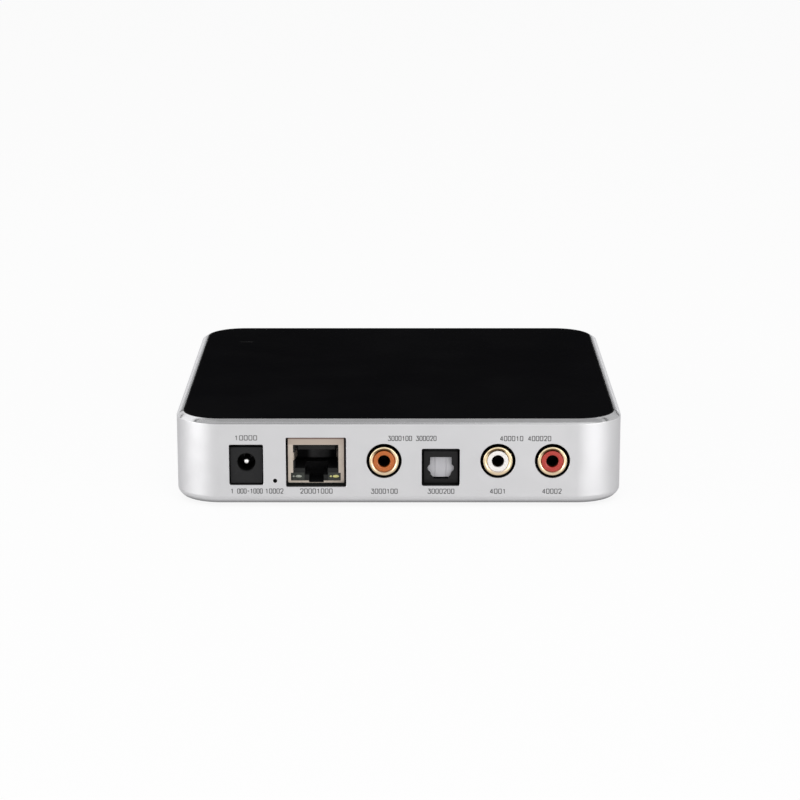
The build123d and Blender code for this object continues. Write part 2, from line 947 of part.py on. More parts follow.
def contact_places():
    first = ethernet_x - contact_pitch * (contact_count - 1) / 2
    return [first + contact_pitch * number for number in range(contact_count)]


def ethernet_light_span(side):
    """Width, length and height of one light window beside the latch."""
    inner = ethernet_x + side * ethernet_light_inner
    outer = ethernet_x + side * ethernet_light_outer
    front = ethernet_front + ethernet_sheet
    return (
        (inner, outer),
        (front, front + ethernet_light_depth),
        (board_top + ethernet_light_base, board_top + ethernet_light_top),
    )


def ethernet_housing():
    """Black moulding inside the shell, with the plug's space, a comb and two light windows."""
    half = ethernet_width / 2 - ethernet_sheet
    front = ethernet_front + ethernet_sheet
    back = ethernet_front + ethernet_depth - ethernet_sheet
    top = board_top + ethernet_height - ethernet_sheet
    body = block((ethernet_x - half, ethernet_x + half), (front, back), (board_top, top))
    for cut in ethernet_plug_space():
        body -= cut
    for side in (-1, 1):
        body -= block(*ethernet_light_span(side))
    return body


def ethernet_light(side):
    """Clear light window in a lower corner of the mouth."""
    return block(*ethernet_light_span(side))


def ethernet_contacts():
    """Spring wires that slope back through the comb above the plug."""
    front = ethernet_front + ethernet_comb_setback
    back = ethernet_front + ethernet_plug_depth
    comb_base = board_top + ethernet_mouth_top - ethernet_comb_drop
    high = comb_base + contact_thickness + contact_slot_gap
    low = comb_base - contact_drop
    half = contact_thickness / 2
    outline = Polyline(
        (front, high),
        (back, low),
        (back, low + contact_thickness),
        (front, high + contact_thickness),
        close=True,
    )
    side_plane = Plane(origin=(0, 0, 0), x_dir=(0, 1, 0), z_dir=(1, 0, 0))
    wire = extrude(side_plane * make_face(outline), half, both=True)
    return Compound(children=[Pos(x, 0, 0) * wire for x in contact_places()])


def phono_body(x):
    """Moulded block behind the barrel, seated on the board."""
    half = phono_block_width / 2
    top = phono_axis + phono_block_above_axis
    back = phono_block_front + phono_block_depth
    block_outline = Polyline(
        (x - half, board_top),
        (x + half, board_top),
        (x + half, top - phono_block_edge),
        (x + half - phono_block_edge, top),
        (x - half + phono_block_edge, top),
        (x - half, top - phono_block_edge),
        close=True,
    )
    body = bar(make_face(block_outline), phono_block_front, back)
    socket_back = phono_front() + phono_insert_recess + phono_insert_length()
    return body - rod(
        phono_insert_radius + fit_gap, phono_block_front - cut_overrun, socket_back, x, phono_axis
    )


def phono_front():
    return wall_front - phono_barrel_proud


def phono_insert_length():
    return phono_contact_setback + phono_contact_length + fit_gap + phono_flange_thickness


def phono_barrel(x):
    """Turned barrel with a rounded lip and a flange against the block."""
    front = phono_front()
    back = phono_block_front
    outer = phono_barrel_radius
    inner = phono_insert_radius + fit_gap
    outer_edge = phono_barrel_outer_edge
    inner_edge = phono_barrel_inner_edge
    flange_front = back - phono_flange_thickness
    lip = Polyline((inner + inner_edge, front), (outer - outer_edge, front))
    round_edge = CenterArc((outer - outer_edge, front + outer_edge), outer_edge, -90, 90)
    flank = Polyline(
        (outer, front + outer_edge),
        (outer, flange_front),
        (phono_flange_radius, flange_front),
        (phono_flange_radius, back),
        (inner, back),
        (inner, front + inner_edge),
        (inner + inner_edge, front),
    )
    profile = make_face(Curve() + [lip, round_edge, flank])
    return Pos(x, 0, phono_axis) * revolve(profile, Axis.Y)


def phono_insert(x):
    """Coloured insulator with the hole for the plug's pin and a seat for the contact."""
    front = phono_front() + phono_insert_recess
    back = front + phono_insert_length()
    seat = front + phono_contact_setback
    seat_radius = phono_contact_inner_radius + phono_contact_wall + fit_gap
    seat_back = seat + phono_contact_length + fit_gap
    hole = phono_hole_radius
    return turned(
        (
            (hole + phono_hole_lead_in, front),
            (phono_insert_radius, front),
            (phono_insert_radius, back),
            (hole, back),
            (hole, seat_back),
            (seat_radius, seat_back),
            (seat_radius, seat),
            (hole, seat),
            (hole, front + phono_hole_lead_in),
        ),
        x,
        phono_axis,
    )


def phono_contact(x):
    """Tubular centre contact that grips the plug's pin."""
    front = phono_front() + phono_insert_recess + phono_contact_setback
    back = front + phono_contact_length
    inner = phono_contact_inner_radius
    outer = inner + phono_contact_wall
    return turned(((inner, front), (outer, front), (outer, back), (inner, back)), x, phono_axis)


def optical_mouth():
    """Keyed opening of the optical plug: side keys and a chamfered foot."""
    half = optical_mouth_half_width
    key = optical_key_half_width
    slope = optical_key_slope
    points = (
        (half, optical_mouth_top),
        (half, optical_key_top + slope / 2),
        (key, optical_key_top - slope / 2),
        (key, optical_key_base + slope / 2),
        (half, optical_key_base - slope / 2),
        (half, optical_foot_slope_top),
        (optical_mouth_foot_half_width, optical_foot_top),
        (optical_mouth_foot_half_width, optical_mouth_base),
    )
    outline = [(optical_x + x, board_top + z) for x, z in points]
    mirrored = [(optical_x - x, board_top + z) for x, z in reversed(points)]
    return make_face(Polyline(*outline, *mirrored, close=True))


def optical_housing():
    """Moulded optical socket with a keyed mouth, a room for the shutter and pin seats."""
    half_nose = optical_nose_width / 2
    half = optical_width / 2
    back = optical_back
    top = board_top + optical_height
    nose_base = board_top + optical_nose_lift
    nose = block(
        (optical_x - half_nose, optical_x + half_nose),
        (optical_front, optical_body_front + cut_overrun),
        (nose_base, nose_base + optical_nose_height),
    )
    body = nose + block((optical_x - half, optical_x + half), (optical_body_front, back), (board_top, top))
    room = half - optical_side_wall
    room_front = optical_front + optical_skin
    body -= bar(optical_mouth(), optical_front - cut_overrun, room_front + cut_overrun)
    body -= block(
        (optical_x - room, optical_x + room),
        (room_front, emitter_front),
        (board_top + optical_floor, top - optical_roof),
    )
    half_emitter = emitter_size / 2 + fit_gap
    emitter_z = board_top + optical_floor
    body -= block(
        (optical_x - half_emitter, optical_x + half_emitter),
        (emitter_front - cut_overrun, back + cut_overrun),
        (emitter_z, emitter_z + emitter_size + fit_gap),
    )
    seat = shutter_pin_radius + shutter_pin_seat_gap
    reach = shutter_pin_half_length() + shutter_pin_seat_gap
    return body - pin_rod(seat, reach)


def pin_rod(radius, half_length):
    """Bar along the shutter's axis, to the same length each side."""
    across = Plane(origin=(optical_x, shutter_axis_y, shutter_axis_z), x_dir=(0, 1, 0), z_dir=(1, 0, 0))
    return extrude(across * Circle(radius), half_length, both=True)


def shutter_pin_half_length():
    return optical_width / 2 - shutter_pin_end_gap


def shutter_pin():
    return pin_rod(shutter_pin_radius, shutter_pin_half_length())


def optical_shutter():
    """Flap that hangs behind the mouth, with two knuckles on the pin and a raised middle."""
    half = optical_width / 2 - optical_side_wall - shutter_side_gap
    front = optical_front + optical_skin + shutter_gap
    back = front + shutter_thickness
    bottom = board_top + shutter_bottom
    relief = shutter_panel_relief
    flap = block((optical_x - half, optical_x + half), (front + relief, back), (bottom, shutter_axis_z))
    panel_half = shutter_panel_half_width
    panel_top = board_top + optical_mouth_top
    for low, high in ((-half, -panel_half), (-panel_half + relief, panel_half - relief), (panel_half, half)):
        flap += block((optical_x + low, optical_x + high), (front, front + relief), (bottom, panel_top))
    knuckles = pin_rod(shutter_knuckle_radius, half)
    knuckles -= pin_rod(shutter_knuckle_radius + cut_overrun, shutter_knuckle_inner)
    flap -= block(
        (optical_x - shutter_knuckle_inner, optical_x + shutter_knuckle_inner),
        (front - cut_overrun, back + cut_overrun),
        (shutter_axis_z - shutter_knuckle_radius - shutter_gap, shutter_axis_z + cut_overrun),
    )
    flap += knuckles
    return flap - pin_rod(shutter_pin_radius + shutter_running_gap, half + cut_overrun)


def coil_point(quarter_turns, radius):
    """Point on the spring's coil after a number of quarter turns, from the rear side upwards."""
    angle = quarter_turns * math.pi / 2
    start = -spring_pitch * spring_turns / 2
    x = start + spring_pitch * quarter_turns / quarters
    return (
        optical_x + x,
        shutter_axis_y + radius * math.cos(angle),
        shutter_axis_z + radius * math.sin(angle),
    )


def shutter_spring():
    """Torsion spring round the pin: one leg on the flap and one on the roof's side."""
    radius = spring_mean_radius
    turns = []
    for quarter in range(quarters * spring_turns):
        places = [coil_point(quarter + part / 2, radius) for part in range(3)]
        turns.append(ThreePointArc(*places))
    x, y, z = coil_point(0, radius)
    flap_leg = Line((x, y, z - spring_leg), (x, y, z))
    x, y, z = coil_point(quarters * spring_turns, radius)
    roof_leg = Line((x, y, z), (x, y, z + spring_leg_up()))
    path = Curve() + [flap_leg, *turns, roof_leg]
    start = Plane(origin=flap_leg @ 0, z_dir=(0, 0, 1))
    return sweep(start * Circle(spring_wire_radius), path=path)


def spring_leg_up():
    """Length of the upper leg, up to the roof of the room."""
    return board_top + optical_height - optical_roof - shutter_axis_z - spring_leg_room


def optical_emitter():
    """Light source at the back of the optical socket. Its lens stays clear of the shutter's swing."""
    bottom = board_top + optical_floor
    half = emitter_size / 2
    body = block(
        (optical_x - half, optical_x + half), (emitter_front, optical_back), (bottom, bottom + emitter_size)
    )
    axis = board_top + (optical_mouth_top + optical_mouth_base) / 2
    drop = shutter_axis_z - axis - emitter_lens_radius
    lens_front = shutter_axis_y + math.sqrt(shutter_sweep**2 - drop**2)
    lens = rod(emitter_lens_radius, lens_front, emitter_front, optical_x, axis)
    tip = lens.faces().sort_by(Axis.Y)[0].edges()
    return body + fillet(tip, emitter_lens_radius * emitter_round_share)


def chip(width, length, height, shares, lead_count=0):
    """Flat package on the board, with leads along two sides where it has them."""
    x, y = board_place(shares)
    body = brick(x, y, width, length, board_top, board_top + height)
    first = -lead_pitch * (lead_count - 1) / 2
    for number in range(lead_count):
        along = y + first + number * lead_pitch
        body += brick(x, along, width + 2 * lead_reach, lead_width, board_top, board_top + lead_height)
    return body


def processor():
    return chip(processor_side, processor_side, processor_height, processor_place_shares)


def thermal_pad():
    """Soft pad that carries heat from the processor to its shield."""
    x, y = board_place(processor_place_shares)
    top = board_top + shield_height - can_wall
    return brick(x, y, thermal_pad_side, thermal_pad_side, board_top + processor_height, top)


def processor_shield():
    """Pressed can over the processor, with a grid of small vents."""
    x, y = board_place(processor_place_shares)
    top = board_top + shield_height
    can = slab(shield_side, shield_side, shield_corner_radius, board_top, top, x, y)
    inner = shield_side - 2 * can_wall
    can -= slab(
        inner, inner, shield_corner_radius - can_wall, board_top - cut_overrun, top - can_wall, x, y
    )
    first = -shield_vent_pitch * (shield_vent_rows - 1) / 2
    for row in range(shield_vent_rows):
        for column in range(shield_vent_rows):
            vent_x = x + first + column * shield_vent_pitch
            vent_y = y + first + row * shield_vent_pitch
            can -= post(shield_vent_radius, top - cut_overrun, top + cut_overrun, vent_x, vent_y)
    return can


def memory_chip():
    return chip(memory_width, memory_length, memory_height, memory_place_shares)


def flash_chip():
    return chip(flash_width, flash_length, flash_height, flash_place_shares, flash_lead_count)


def radio_module():
    """Wireless module: a carrier board, a metal can and an aerial socket."""
    x, y = board_place(radio_place_shares)
    carrier_top = board_top + radio_carrier
    carrier = brick(x, y, radio_width, radio_length, board_top, carrier_top)
    can_width = radio_width - 2 * radio_margin
    can_length = radio_length - radio_margin - radio_antenna_strip
    can_y = y - (radio_antenna_strip - radio_margin) / 2
    can = slab(can_width, can_length, radio_margin, carrier_top, carrier_top + radio_can_height, x, can_y)
    return carrier + can


def radio_socket_place():
    """Middle of the aerial socket on the module's free strip."""
    x, y = board_place(radio_place_shares)
    return x, y + radio_length / 2 - radio_antenna_strip / 2


def antenna_place():
    return board_place(antenna_place_shares)


def antenna():
    """Aerial board glued under the top panel, with a raised folded trace."""
    x, y = antenna_place()
    half = antenna_length / 2
    top = panel_bottom
    bottom = top - antenna_thickness
    board = brick(x, y, antenna_length, antenna_width, bottom, top)
    width = antenna_trace_width
    trace_low = bottom - antenna_trace_height
    edge = antenna_width / 2 - width
    arm = block((x - half + width, x + half - width), (y + edge - width, y + edge), (trace_low, bottom))
    leg = block((x - half + width, x - half + 2 * width), (y - edge, y + edge), (trace_low, bottom))
    return board + arm + leg


def antenna_lead():
    """Thin screened lead from the aerial down to its plug on the radio module."""
    plug_x, plug_y = radio_socket_place()
    aerial_x, aerial_y = antenna_place()
    plug_base = board_top + radio_carrier
    plug_top = plug_base + lead_plug_height
    plug = post(lead_plug_radius, plug_base, plug_top, plug_x, plug_y)
    lead_z = (plug_base + plug_top) / 2
    start_z = panel_bottom - antenna_thickness
    across = (plug_x - aerial_x) * lead_reach_share
    route = [
        (aerial_x, aerial_y, start_z),
        (aerial_x, aerial_y, start_z - lead_drop),
        (aerial_x + across, aerial_y, lead_z),
        (plug_x, plug_y, lead_z),
    ]
    path = lead_path(route)
    start = Plane(origin=route[0], z_dir=(0, 0, -1))
    return plug + sweep(start * Circle(lead_tube_radius), path=path)


def lead_path(route):
    """Straight runs joined by arcs as large as each corner's two runs allow."""
    places = [Vector(*place) for place in route]
    radii = []
    for before, corner, after in zip(places, places[1:], places[2:]):
        turn = math.radians((corner - before).get_angle(after - corner))
        shorter = min((corner - before).length, (after - corner).length)
        radii.append(lead_bend_share * shorter / math.tan(turn / 2))
    print("antenna lead bend radii:", [round(radius, 2) for radius in radii])
    return FilletPolyline(*places, radius=radii)


def audio_converter():
    side = converter_side
    return chip(side, side, converter_height, converter_place_shares, converter_lead_count)


def line_driver():
    return chip(driver_width, driver_length, driver_height, driver_place_shares, driver_lead_count)


def line_transformer():
    """Isolating transformer of the network socket."""
    return chip(
        transformer_width,
        transformer_length,
        transformer_height,
        transformer_place_shares,
        transformer_lead_count,
    )


def power_inductors():
    """Moulded chokes of the power supply."""
    chokes = []
    for shares in inductor_place_shares:
        x, y = board_place(shares)
        choke = brick(x, y, inductor_side, inductor_side, board_top, board_top + inductor_height)
        chokes.append(chamfer(choke.edges().filter_by(Axis.Z), inductor_chamfer))
    return Compound(children=chokes)


def filter_capacitors():
    """Upright cans with a crimped neck on square bases."""
    cans = []
    base_top = board_top + capacitor_base_height
    for shares in capacitor_place_shares:
        x, y = board_place(shares)
        base = brick(x, y, capacitor_base_side, capacitor_base_side, board_top, base_top)
        base = chamfer(base.edges().filter_by(Axis.Z), capacitor_base_chamfer)
        neck_top = base_top + capacitor_neck_height
        can = post(capacitor_neck_radius, base_top, neck_top, x, y)
        can += post(capacitor_radius, neck_top, board_top + capacitor_height, x, y)
        cans.append(base + can)
    return Compound(children=cans)


def crystals():
    """Metal-cased crystals: one by the processor and one close to the converter's leads."""
    converter_x, converter_y = board_place(converter_place_shares)
    reach = converter_side / 2 + lead_reach + crystal_to_converter + crystal_length / 2
    places = (board_place(processor_crystal_place_shares), (converter_x - reach, converter_y))
    cans = []
    top = board_top + crystal_height
    for x, y in places:
        cans.append(slab(crystal_length, crystal_width, crystal_corner_radius, board_top, top, x, y))
    return Compound(children=cans)


def all_pieces():
    """Every piece of the streamer by its name."""
    pieces = {
        "enclosure_frame": enclosure_frame(),
        "top_panel": top_panel(),
        "panel_adhesive": panel_adhesive(),
        "status_light_pipe": status_light_pipe(),
        "status_light": status_light(),
        "base_plate": base_plate(),
        "base_screws": base_screws(),
        "board_standoffs": board_standoffs(),
        "main_board": main_board(),
        "board_screws": board_screws(),
        "power_socket_body": power_socket_body(),
        "power_socket_pin": power_socket_pin(),
        "power_socket_leaf": power_socket_leaf(),
        "reset_switch": reset_switch(),
        "reset_button": reset_button(),
        "ethernet_shield": ethernet_shield(),
        "ethernet_housing": ethernet_housing(),
        "ethernet_contacts": ethernet_contacts(),
        "ethernet_light_left": ethernet_light(-1),
        "ethernet_light_right": ethernet_light(1),
        "optical_housing": optical_housing(),
        "optical_shutter": optical_shutter(),
        "shutter_pin": shutter_pin(),
        "shutter_spring": shutter_spring(),
        "optical_emitter": optical_emitter(),
        "processor": processor(),
        "thermal_pad": thermal_pad(),
        "processor_shield": processor_shield(),
        "memory_chip": memory_chip(),
        "flash_chip": flash_chip(),
        "radio_module": radio_module(),
        "antenna": antenna(),
        "antenna_lead": antenna_lead(),
        "audio_converter": audio_converter(),
        "line_driver": line_driver(),
        "line_transformer": line_transformer(),
        "power_inductors": power_inductors(),
        "filter_capacitors": filter_capacitors(),
        "crystals": crystals(),
    }
    for name, x in phono_places.items():
        pieces[f"{name}_jack_body"] = phono_body(x)
        pieces[f"{name}_jack_barrel"] = phono_barrel(x)
        pieces[f"{name}_jack_insert"] = phono_insert(x)
        pieces[f"{name}_jack_contact"] = phono_contact(x)
    foot_names = ("foot_rear_left", "foot_front_left", "foot_rear_right", "foot_front_right")
    for name, (x, y) in zip(foot_names, foot_places()):
        pieces[name] = foot(x, y)
    return pieces


os.makedirs("parts", exist_ok=True)
for name, piece in all_pieces().items():
    export_step(piece, f"parts/{name}.step")
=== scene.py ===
import json
import math

import bmesh
import bpy
import numpy as np
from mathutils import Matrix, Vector


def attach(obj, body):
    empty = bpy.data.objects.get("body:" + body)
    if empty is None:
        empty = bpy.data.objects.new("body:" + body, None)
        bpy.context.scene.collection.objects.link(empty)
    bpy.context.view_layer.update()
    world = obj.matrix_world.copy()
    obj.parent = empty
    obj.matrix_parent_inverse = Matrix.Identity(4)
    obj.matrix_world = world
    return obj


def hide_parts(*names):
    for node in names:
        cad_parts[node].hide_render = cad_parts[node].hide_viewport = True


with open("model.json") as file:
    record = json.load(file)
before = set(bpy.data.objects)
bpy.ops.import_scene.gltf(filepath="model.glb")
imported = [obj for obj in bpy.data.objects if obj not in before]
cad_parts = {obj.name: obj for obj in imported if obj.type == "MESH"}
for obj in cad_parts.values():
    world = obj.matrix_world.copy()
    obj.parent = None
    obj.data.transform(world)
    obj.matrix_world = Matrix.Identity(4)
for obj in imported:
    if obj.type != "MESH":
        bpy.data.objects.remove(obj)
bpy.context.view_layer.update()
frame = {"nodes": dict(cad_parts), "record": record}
mm = 0.001  # every size below is in millimetres, and meshes are in metres
print("frame:", len(frame["nodes"]), "nodes")

# Shapes


def easedCorners(points, ease, steps=4, closed=True):
    # each corner becomes a parabola between two points at the ease distance along its sides:
    # (1-t)^2 start + 2t(1-t) corner + t^2 end
    points = np.asarray(points, float)
    before, after = np.roll(points, 1, 0) - points, np.roll(points, -1, 0) - points
    reachBefore = np.linalg.norm(before, axis=1, keepdims=True)
    reachAfter = np.linalg.norm(after, axis=1, keepdims=True)
    cut = np.broadcast_to(ease, len(points)).astype(float)[:, None]
    if not closed:
        cut = cut * np.r_[0, np.ones(len(points) - 2), 0][:, None]
    cut = np.minimum(cut, 0.45 * np.minimum(reachBefore, reachAfter))
    start, end = points + before / reachBefore * cut, points + after / reachAfter * cut
    t = np.linspace(0, 1, steps + 1)[None, :, None]
    curve = (1 - t) ** 2 * start[:, None] + 2 * t * (1 - t) * points[:, None] + t**2 * end[:, None]
    return curve.reshape(-1, 2)


def gridFaces(rows, columns, closedRows=True, closedColumns=True):
    # one quad between each four neighbouring points
    i, j = np.meshgrid(
        np.arange(rows if closedRows else rows - 1),
        np.arange(columns if closedColumns else columns - 1),
        indexing="ij",
    )
    nextI, nextJ = (i + 1) % rows, (j + 1) % columns
    corners = (i * columns + j, nextI * columns + j, nextI * columns + nextJ, i * columns + nextJ)
    return np.stack(corners, -1).reshape(-1, 4)


def pointGrid(x, y, z):
    # points from their three parts, each stretched to the grid's size
    return np.stack(np.broadcast_arrays(x, y, z), -1)


def quarterTurns(steps):
    # four quarter circles in a row: each point's angle, and the signs of its corner
    quarter = np.repeat(np.arange(4), steps + 1)
    angle = (quarter + np.tile(np.linspace(0, 1, steps + 1), 4)) * math.pi / 2
    middle = (quarter + 0.5) * math.pi / 2
    return angle, np.sign(np.cos(middle)), np.sign(np.sin(middle))


def roundedSquareRing(profile, half, radius, steps):
    # plan point = corner centre + (corner radius - inset) * outward direction, at the profile's height
    angle, *signs = quarterTurns(steps)
    centre = np.stack(signs, 1)
    outward = np.stack([np.cos(angle), np.sin(angle)], 1)
    inset, height = np.asarray(profile, float).T
    plan = centre[:, None] * (half - radius) + outward[:, None] * (radius - inset)[None, :, None]
    return np.dstack([plan, np.broadcast_to(height, plan.shape[:2])])


def turned(profile, steps):
    # a (radius, along) profile swept round its line: radius cos a, radius sin a, along
    radius, along = np.asarray(profile, float).T
    angle = np.linspace(0, 2 * math.pi, steps, endpoint=False)[:, None]
    return radius * np.cos(angle), radius * np.sin(angle), along


def turnedRing(profile, axisX, axisZ, steps=96):
    # about a line along Y
    across, up, along = turned(profile, steps)
    return pointGrid(axisX + across, along, axisZ + up)


def turnedPost(profile, x, y, steps=64):
    # about an upright line
    across, deep, height = turned(profile, steps)
    return pointGrid(x + across, y + deep, height)


def windowLoft(sections, x, z, width, height, radius, steps=12):
    # a rounded window's outline in X and Z, grown by each section's second number at its depth y
    angle, signX, signZ = quarterTurns(steps)
    depth, grow = np.asarray(sections, float).T
    acrossX = x + signX * (width / 2 - radius)
    acrossZ = z + signZ * (height / 2 - radius)
    turn, reach = angle[:, None], radius + grow
    return pointGrid(
        acrossX[:, None] + np.cos(turn) * reach, depth, acrossZ[:, None] + np.sin(turn) * reach
    )


def capFaces(rows, columns):
    # the two flat ends of a grid whose rows go round
    first, last = np.arange(rows) * columns, np.arange(rows) * columns + columns - 1
    return [first[::-1].tolist(), last.tolist()]


def shell(grid, closedColumns=True, capped=False):
    rows, columns = grid.shape[:2]
    faces = gridFaces(rows, columns, True, closedColumns).tolist()
    return grid.reshape(-1, 3), faces + (capFaces(rows, columns) if capped else [])


def solid(grid):
    # a grid with its two open ends closed flat
    return shell(grid, closedColumns=False, capped=True)


def joined(shells):
    points, faces, start = [], [], 0
    for shellPoints, shellFaces in shells:
        points.append(shellPoints)
        faces += [[corner + start for corner in face] for face in shellFaces]
        start += len(shellPoints)
    return np.concatenate(points), faces


def meshFrom(name, points, faces):
    mesh = bpy.data.meshes.new(name)
    mesh.from_pydata(np.asarray(points, float) * mm, [], faces)
    return mesh


def tidied(mesh, mergeWithin=2e-7, flatten=0.0, turnOut=True):
    # merges doubles, dissolves flat neighbours where asked, and turns every face outwards
    work = bmesh.new()
    work.from_mesh(mesh)
    bmesh.ops.remove_doubles(work, verts=work.verts, dist=mergeWithin)
    bmesh.ops.dissolve_degenerate(work, edges=work.edges, dist=1e-8)
    if flatten:
        bmesh.ops.dissolve_limit(work, angle_limit=flatten, verts=work.verts, edges=work.edges)
    if turnOut:
        bmesh.ops.recalc_face_normals(work, faces=work.faces)
    work.to_mesh(mesh)
    work.free()
    return mesh


sharpAngle = 32  # degrees; edges sharper than this stay sharp


def shaded(mesh, angle=sharpAngle):
    mesh.polygons.foreach_set("use_smooth", np.ones(len(mesh.polygons), bool))
    mesh.set_sharp_from_angle(angle=math.radians(angle))
    mesh.update()
    return mesh


def wear(mesh, *materials):
    mesh.materials.clear()
    for material in materials:
        mesh.materials.append(material)


def addObject(name, mesh):
    piece = bpy.data.objects.new(name, mesh)
    bpy.context.scene.collection.objects.link(piece)
    return piece


def place(piece, body, slot=None, stands=()):
    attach(piece, body)
    if stands:
        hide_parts(*stands)
    return piece


def evenNormals(piece):
    weighted = piece.modifiers.new("evenNormals", "WEIGHTED_NORMAL")
    weighted.keep_sharp = True
    weighted.weight = 100


def cutAway(mesh, cutters):
    # takes each closed cutter out of a closed mesh
    piece = addObject("cutting", mesh)
    for number, (points, faces) in enumerate(cutters):
        cutter = addObject(f"cutter{number}", tidied(meshFrom("cutter", points, faces)))
        boolean = piece.modifiers.new("cut", "BOOLEAN")
        boolean.operation, boolean.solver, boolean.object = "DIFFERENCE", "EXACT", cutter
        bpy.context.view_layer.update()
        result = bpy.data.meshes.new_from_object(piece.evaluated_get(bpy.context.evaluated_depsgraph_get()))
        piece.modifiers.clear()
        piece.data = result
        bpy.data.objects.remove(cutter)
    result = piece.data
    bpy.data.objects.remove(piece)
    return result


def dressedCopy(node, look, slot, edge=0.06, steps=2, cuts=(), body="case"):
    # a merged copy of a CAD piece with softened edges and smooth shading, cut where asked
    mesh = frame["nodes"][node].data.copy()
    mesh.materials.clear()
    tidied(mesh, 1e-6, math.radians(0.8), turnOut=False)
    if cuts:
        mesh = cutAway(mesh, cuts)
    shaded(mesh)
    mesh.materials.append(finishes[look])
    piece = addObject(node + "_dressed", mesh)
    if edge:
        bevel = piece.modifiers.new("softEdge", "BEVEL")
        bevel.width, bevel.segments = edge * mm, steps
        bevel.limit_method, bevel.angle_limit = "ANGLE", math.radians(sharpAngle)
        bevel.harden_normals = True
    return place(piece, body, slot, (node,))


# Node helpers


def addNode(tree, kind, sockets=None, **settings):
    node = tree.nodes.new("ShaderNode" + kind)
    for name, value in settings.items():
        setattr(node, name, value)
    for name, value in (sockets or {}).items():
        if isinstance(value, bpy.types.NodeSocket):
            tree.links.new(value, node.inputs[name])
        else:
            node.inputs[name].default_value = value
    return node


def mathNode(tree, operation, *values, **settings):
    return addNode(tree, "Math", dict(enumerate(values)), operation=operation, **settings).outputs[0]


def product(tree, *values, **settings):
    # of two values, plus a third one where there is one
    return mathNode(tree, "MULTIPLY_ADD" if len(values) > 2 else "MULTIPLY", *values, **settings)


def mixColours(tree, factor, first, second):
    return addNode(tree, "Mix", {0: factor, 6: first, 7: second}, data_type="RGBA").outputs[2]


def mixValues(tree, factor, first, second):
    return addNode(tree, "Mix", {0: factor, 2: first, 3: second}, data_type="FLOAT").outputs[0]


def ramp(tree, value, low, high):
    # 0 below low, 1 above high, smooth between
    span = {"Value": value, "From Min": low, "From Max": high}
    return addNode(tree, "MapRange", span, interpolation_type="SMOOTHSTEP").outputs[0]


def newGroup(name, inputs, outputs):
    # takes a place and the labelled inputs; what isn't a place or a colour is a number
    group = bpy.data.node_groups.new(name, "ShaderNodeTree")
    for way, labels in (("INPUT", ("Place", *inputs)), ("OUTPUT", outputs)):
        for label in labels:
            kind = "Vector" if label == "Place" else "Color" if label.endswith("Colour") else "Float"
            group.interface.new_socket(label, in_out=way, socket_type="NodeSocket" + kind)
    return group, group.nodes.new("NodeGroupInput").outputs, group.nodes.new("NodeGroupOutput")


def noise(tree, vector, scale, detail=3.0):
    return addNode(tree, "TexNoise", {"Vector": vector, "Scale": scale, "Detail": detail}).outputs[0]


def mapPlace(tree, vector, **changes):
    return addNode(tree, "Mapping", {"Vector": vector, **changes}).outputs[0]


def aroundCentre(centre):
    return tuple(-part * mm for part in centre)


def addSurface(tree, shader, colour, roughness, height, strength, depth):
    bump = addNode(tree, "Bump", {"Height": height, "Strength": strength, "Distance": depth * mm})
    for label, value in (("Base Color", colour), ("Roughness", roughness), ("Normal", bump.outputs[0])):
        tree.links.new(value, shader.inputs[label])


def useGroup(tree, name, **sockets):
    node = tree.nodes.new("ShaderNodeGroup")
    node.node_tree = bpy.data.node_groups[name]
    for label, value in sockets.items():
        label = label.replace("_", " ")
        if isinstance(value, bpy.types.NodeSocket):
            tree.links.new(value, node.inputs[label])
        else:
            node.inputs[label].default_value = value
    return node.outputs


def makeSkinGroup():
    # colour broad with a broad noise, roughness with a middle one, height with a fine one
    group, given, result = newGroup(
        "skin",
        ("Colour", "Drift Colour", "Drift Scale", "Grain Scale", "Roughness Low", "Roughness High"),
        ("Colour", "Roughness", "Height"),
    )
    drift = ramp(group, noise(group, given["Place"], given["Drift Scale"]), 0.3, 0.7)
    grain = noise(group, given["Place"], given["Grain Scale"], 2.0)
    middle = noise(group, given["Place"], product(group, given["Drift Scale"], 4.3))
    blend = product(group, grain, 0.35, product(group, drift, 0.65))
    group.links.new(mixColours(group, blend, given["Colour"], given["Drift Colour"]), result.inputs["Colour"])
    sheen = product(group, middle, 0.7, product(group, grain, 0.3))
    group.links.new(
        mixValues(group, ramp(group, sheen, 0.3, 0.7), given["Roughness Low"], given["Roughness High"]),
        result.inputs["Roughness"],
    )
    group.links.new(grain, result.inputs["Height"])


def makeScuffGroup():
    # hair-fine marks: two noises drawn out along different lines, kept only at their crests
    group, given, result = newGroup("scuffs", ["Scale", "Amount"], ["Mask"])
    marks = []
    for turn, stretch in ((0.6, (1, 0.04, 0.3)), (-0.9, (0.05, 1, 0.4))):
        mapped = mapPlace(group, given["Place"], Rotation=(turn, 0.3, turn), Scale=stretch)
        marks.append(ramp(group, noise(group, mapped, given["Scale"], 1.0), 0.66, 0.74))
    broad = noise(group, given["Place"], product(group, given["Scale"], 0.1))
    patchy = product(group, mathNode(group, "MAXIMUM", *marks), ramp(group, broad, 0.45, 0.65))
    group.links.new(product(group, patchy, given["Amount"]), result.inputs["Mask"])


def makeRingGroup():
    # tool marks round an axis along Y: a sine of the distance from it, broken up by noise
    group, given, result = newGroup("rings", ["Pitch"], ["Height"])
    parts = useGroup(group, "axis", Place=given["Place"])
    distance = mathNode(group, "ADD", parts["Radius"], parts["Y"])
    wave = mathNode(group, "SINE", mathNode(group, "DIVIDE", distance, given["Pitch"]))
    mixed = product(group, noise(group, given["Place"], 3000.0), 1.2, wave)
    group.links.new(mixed, result.inputs["Height"])


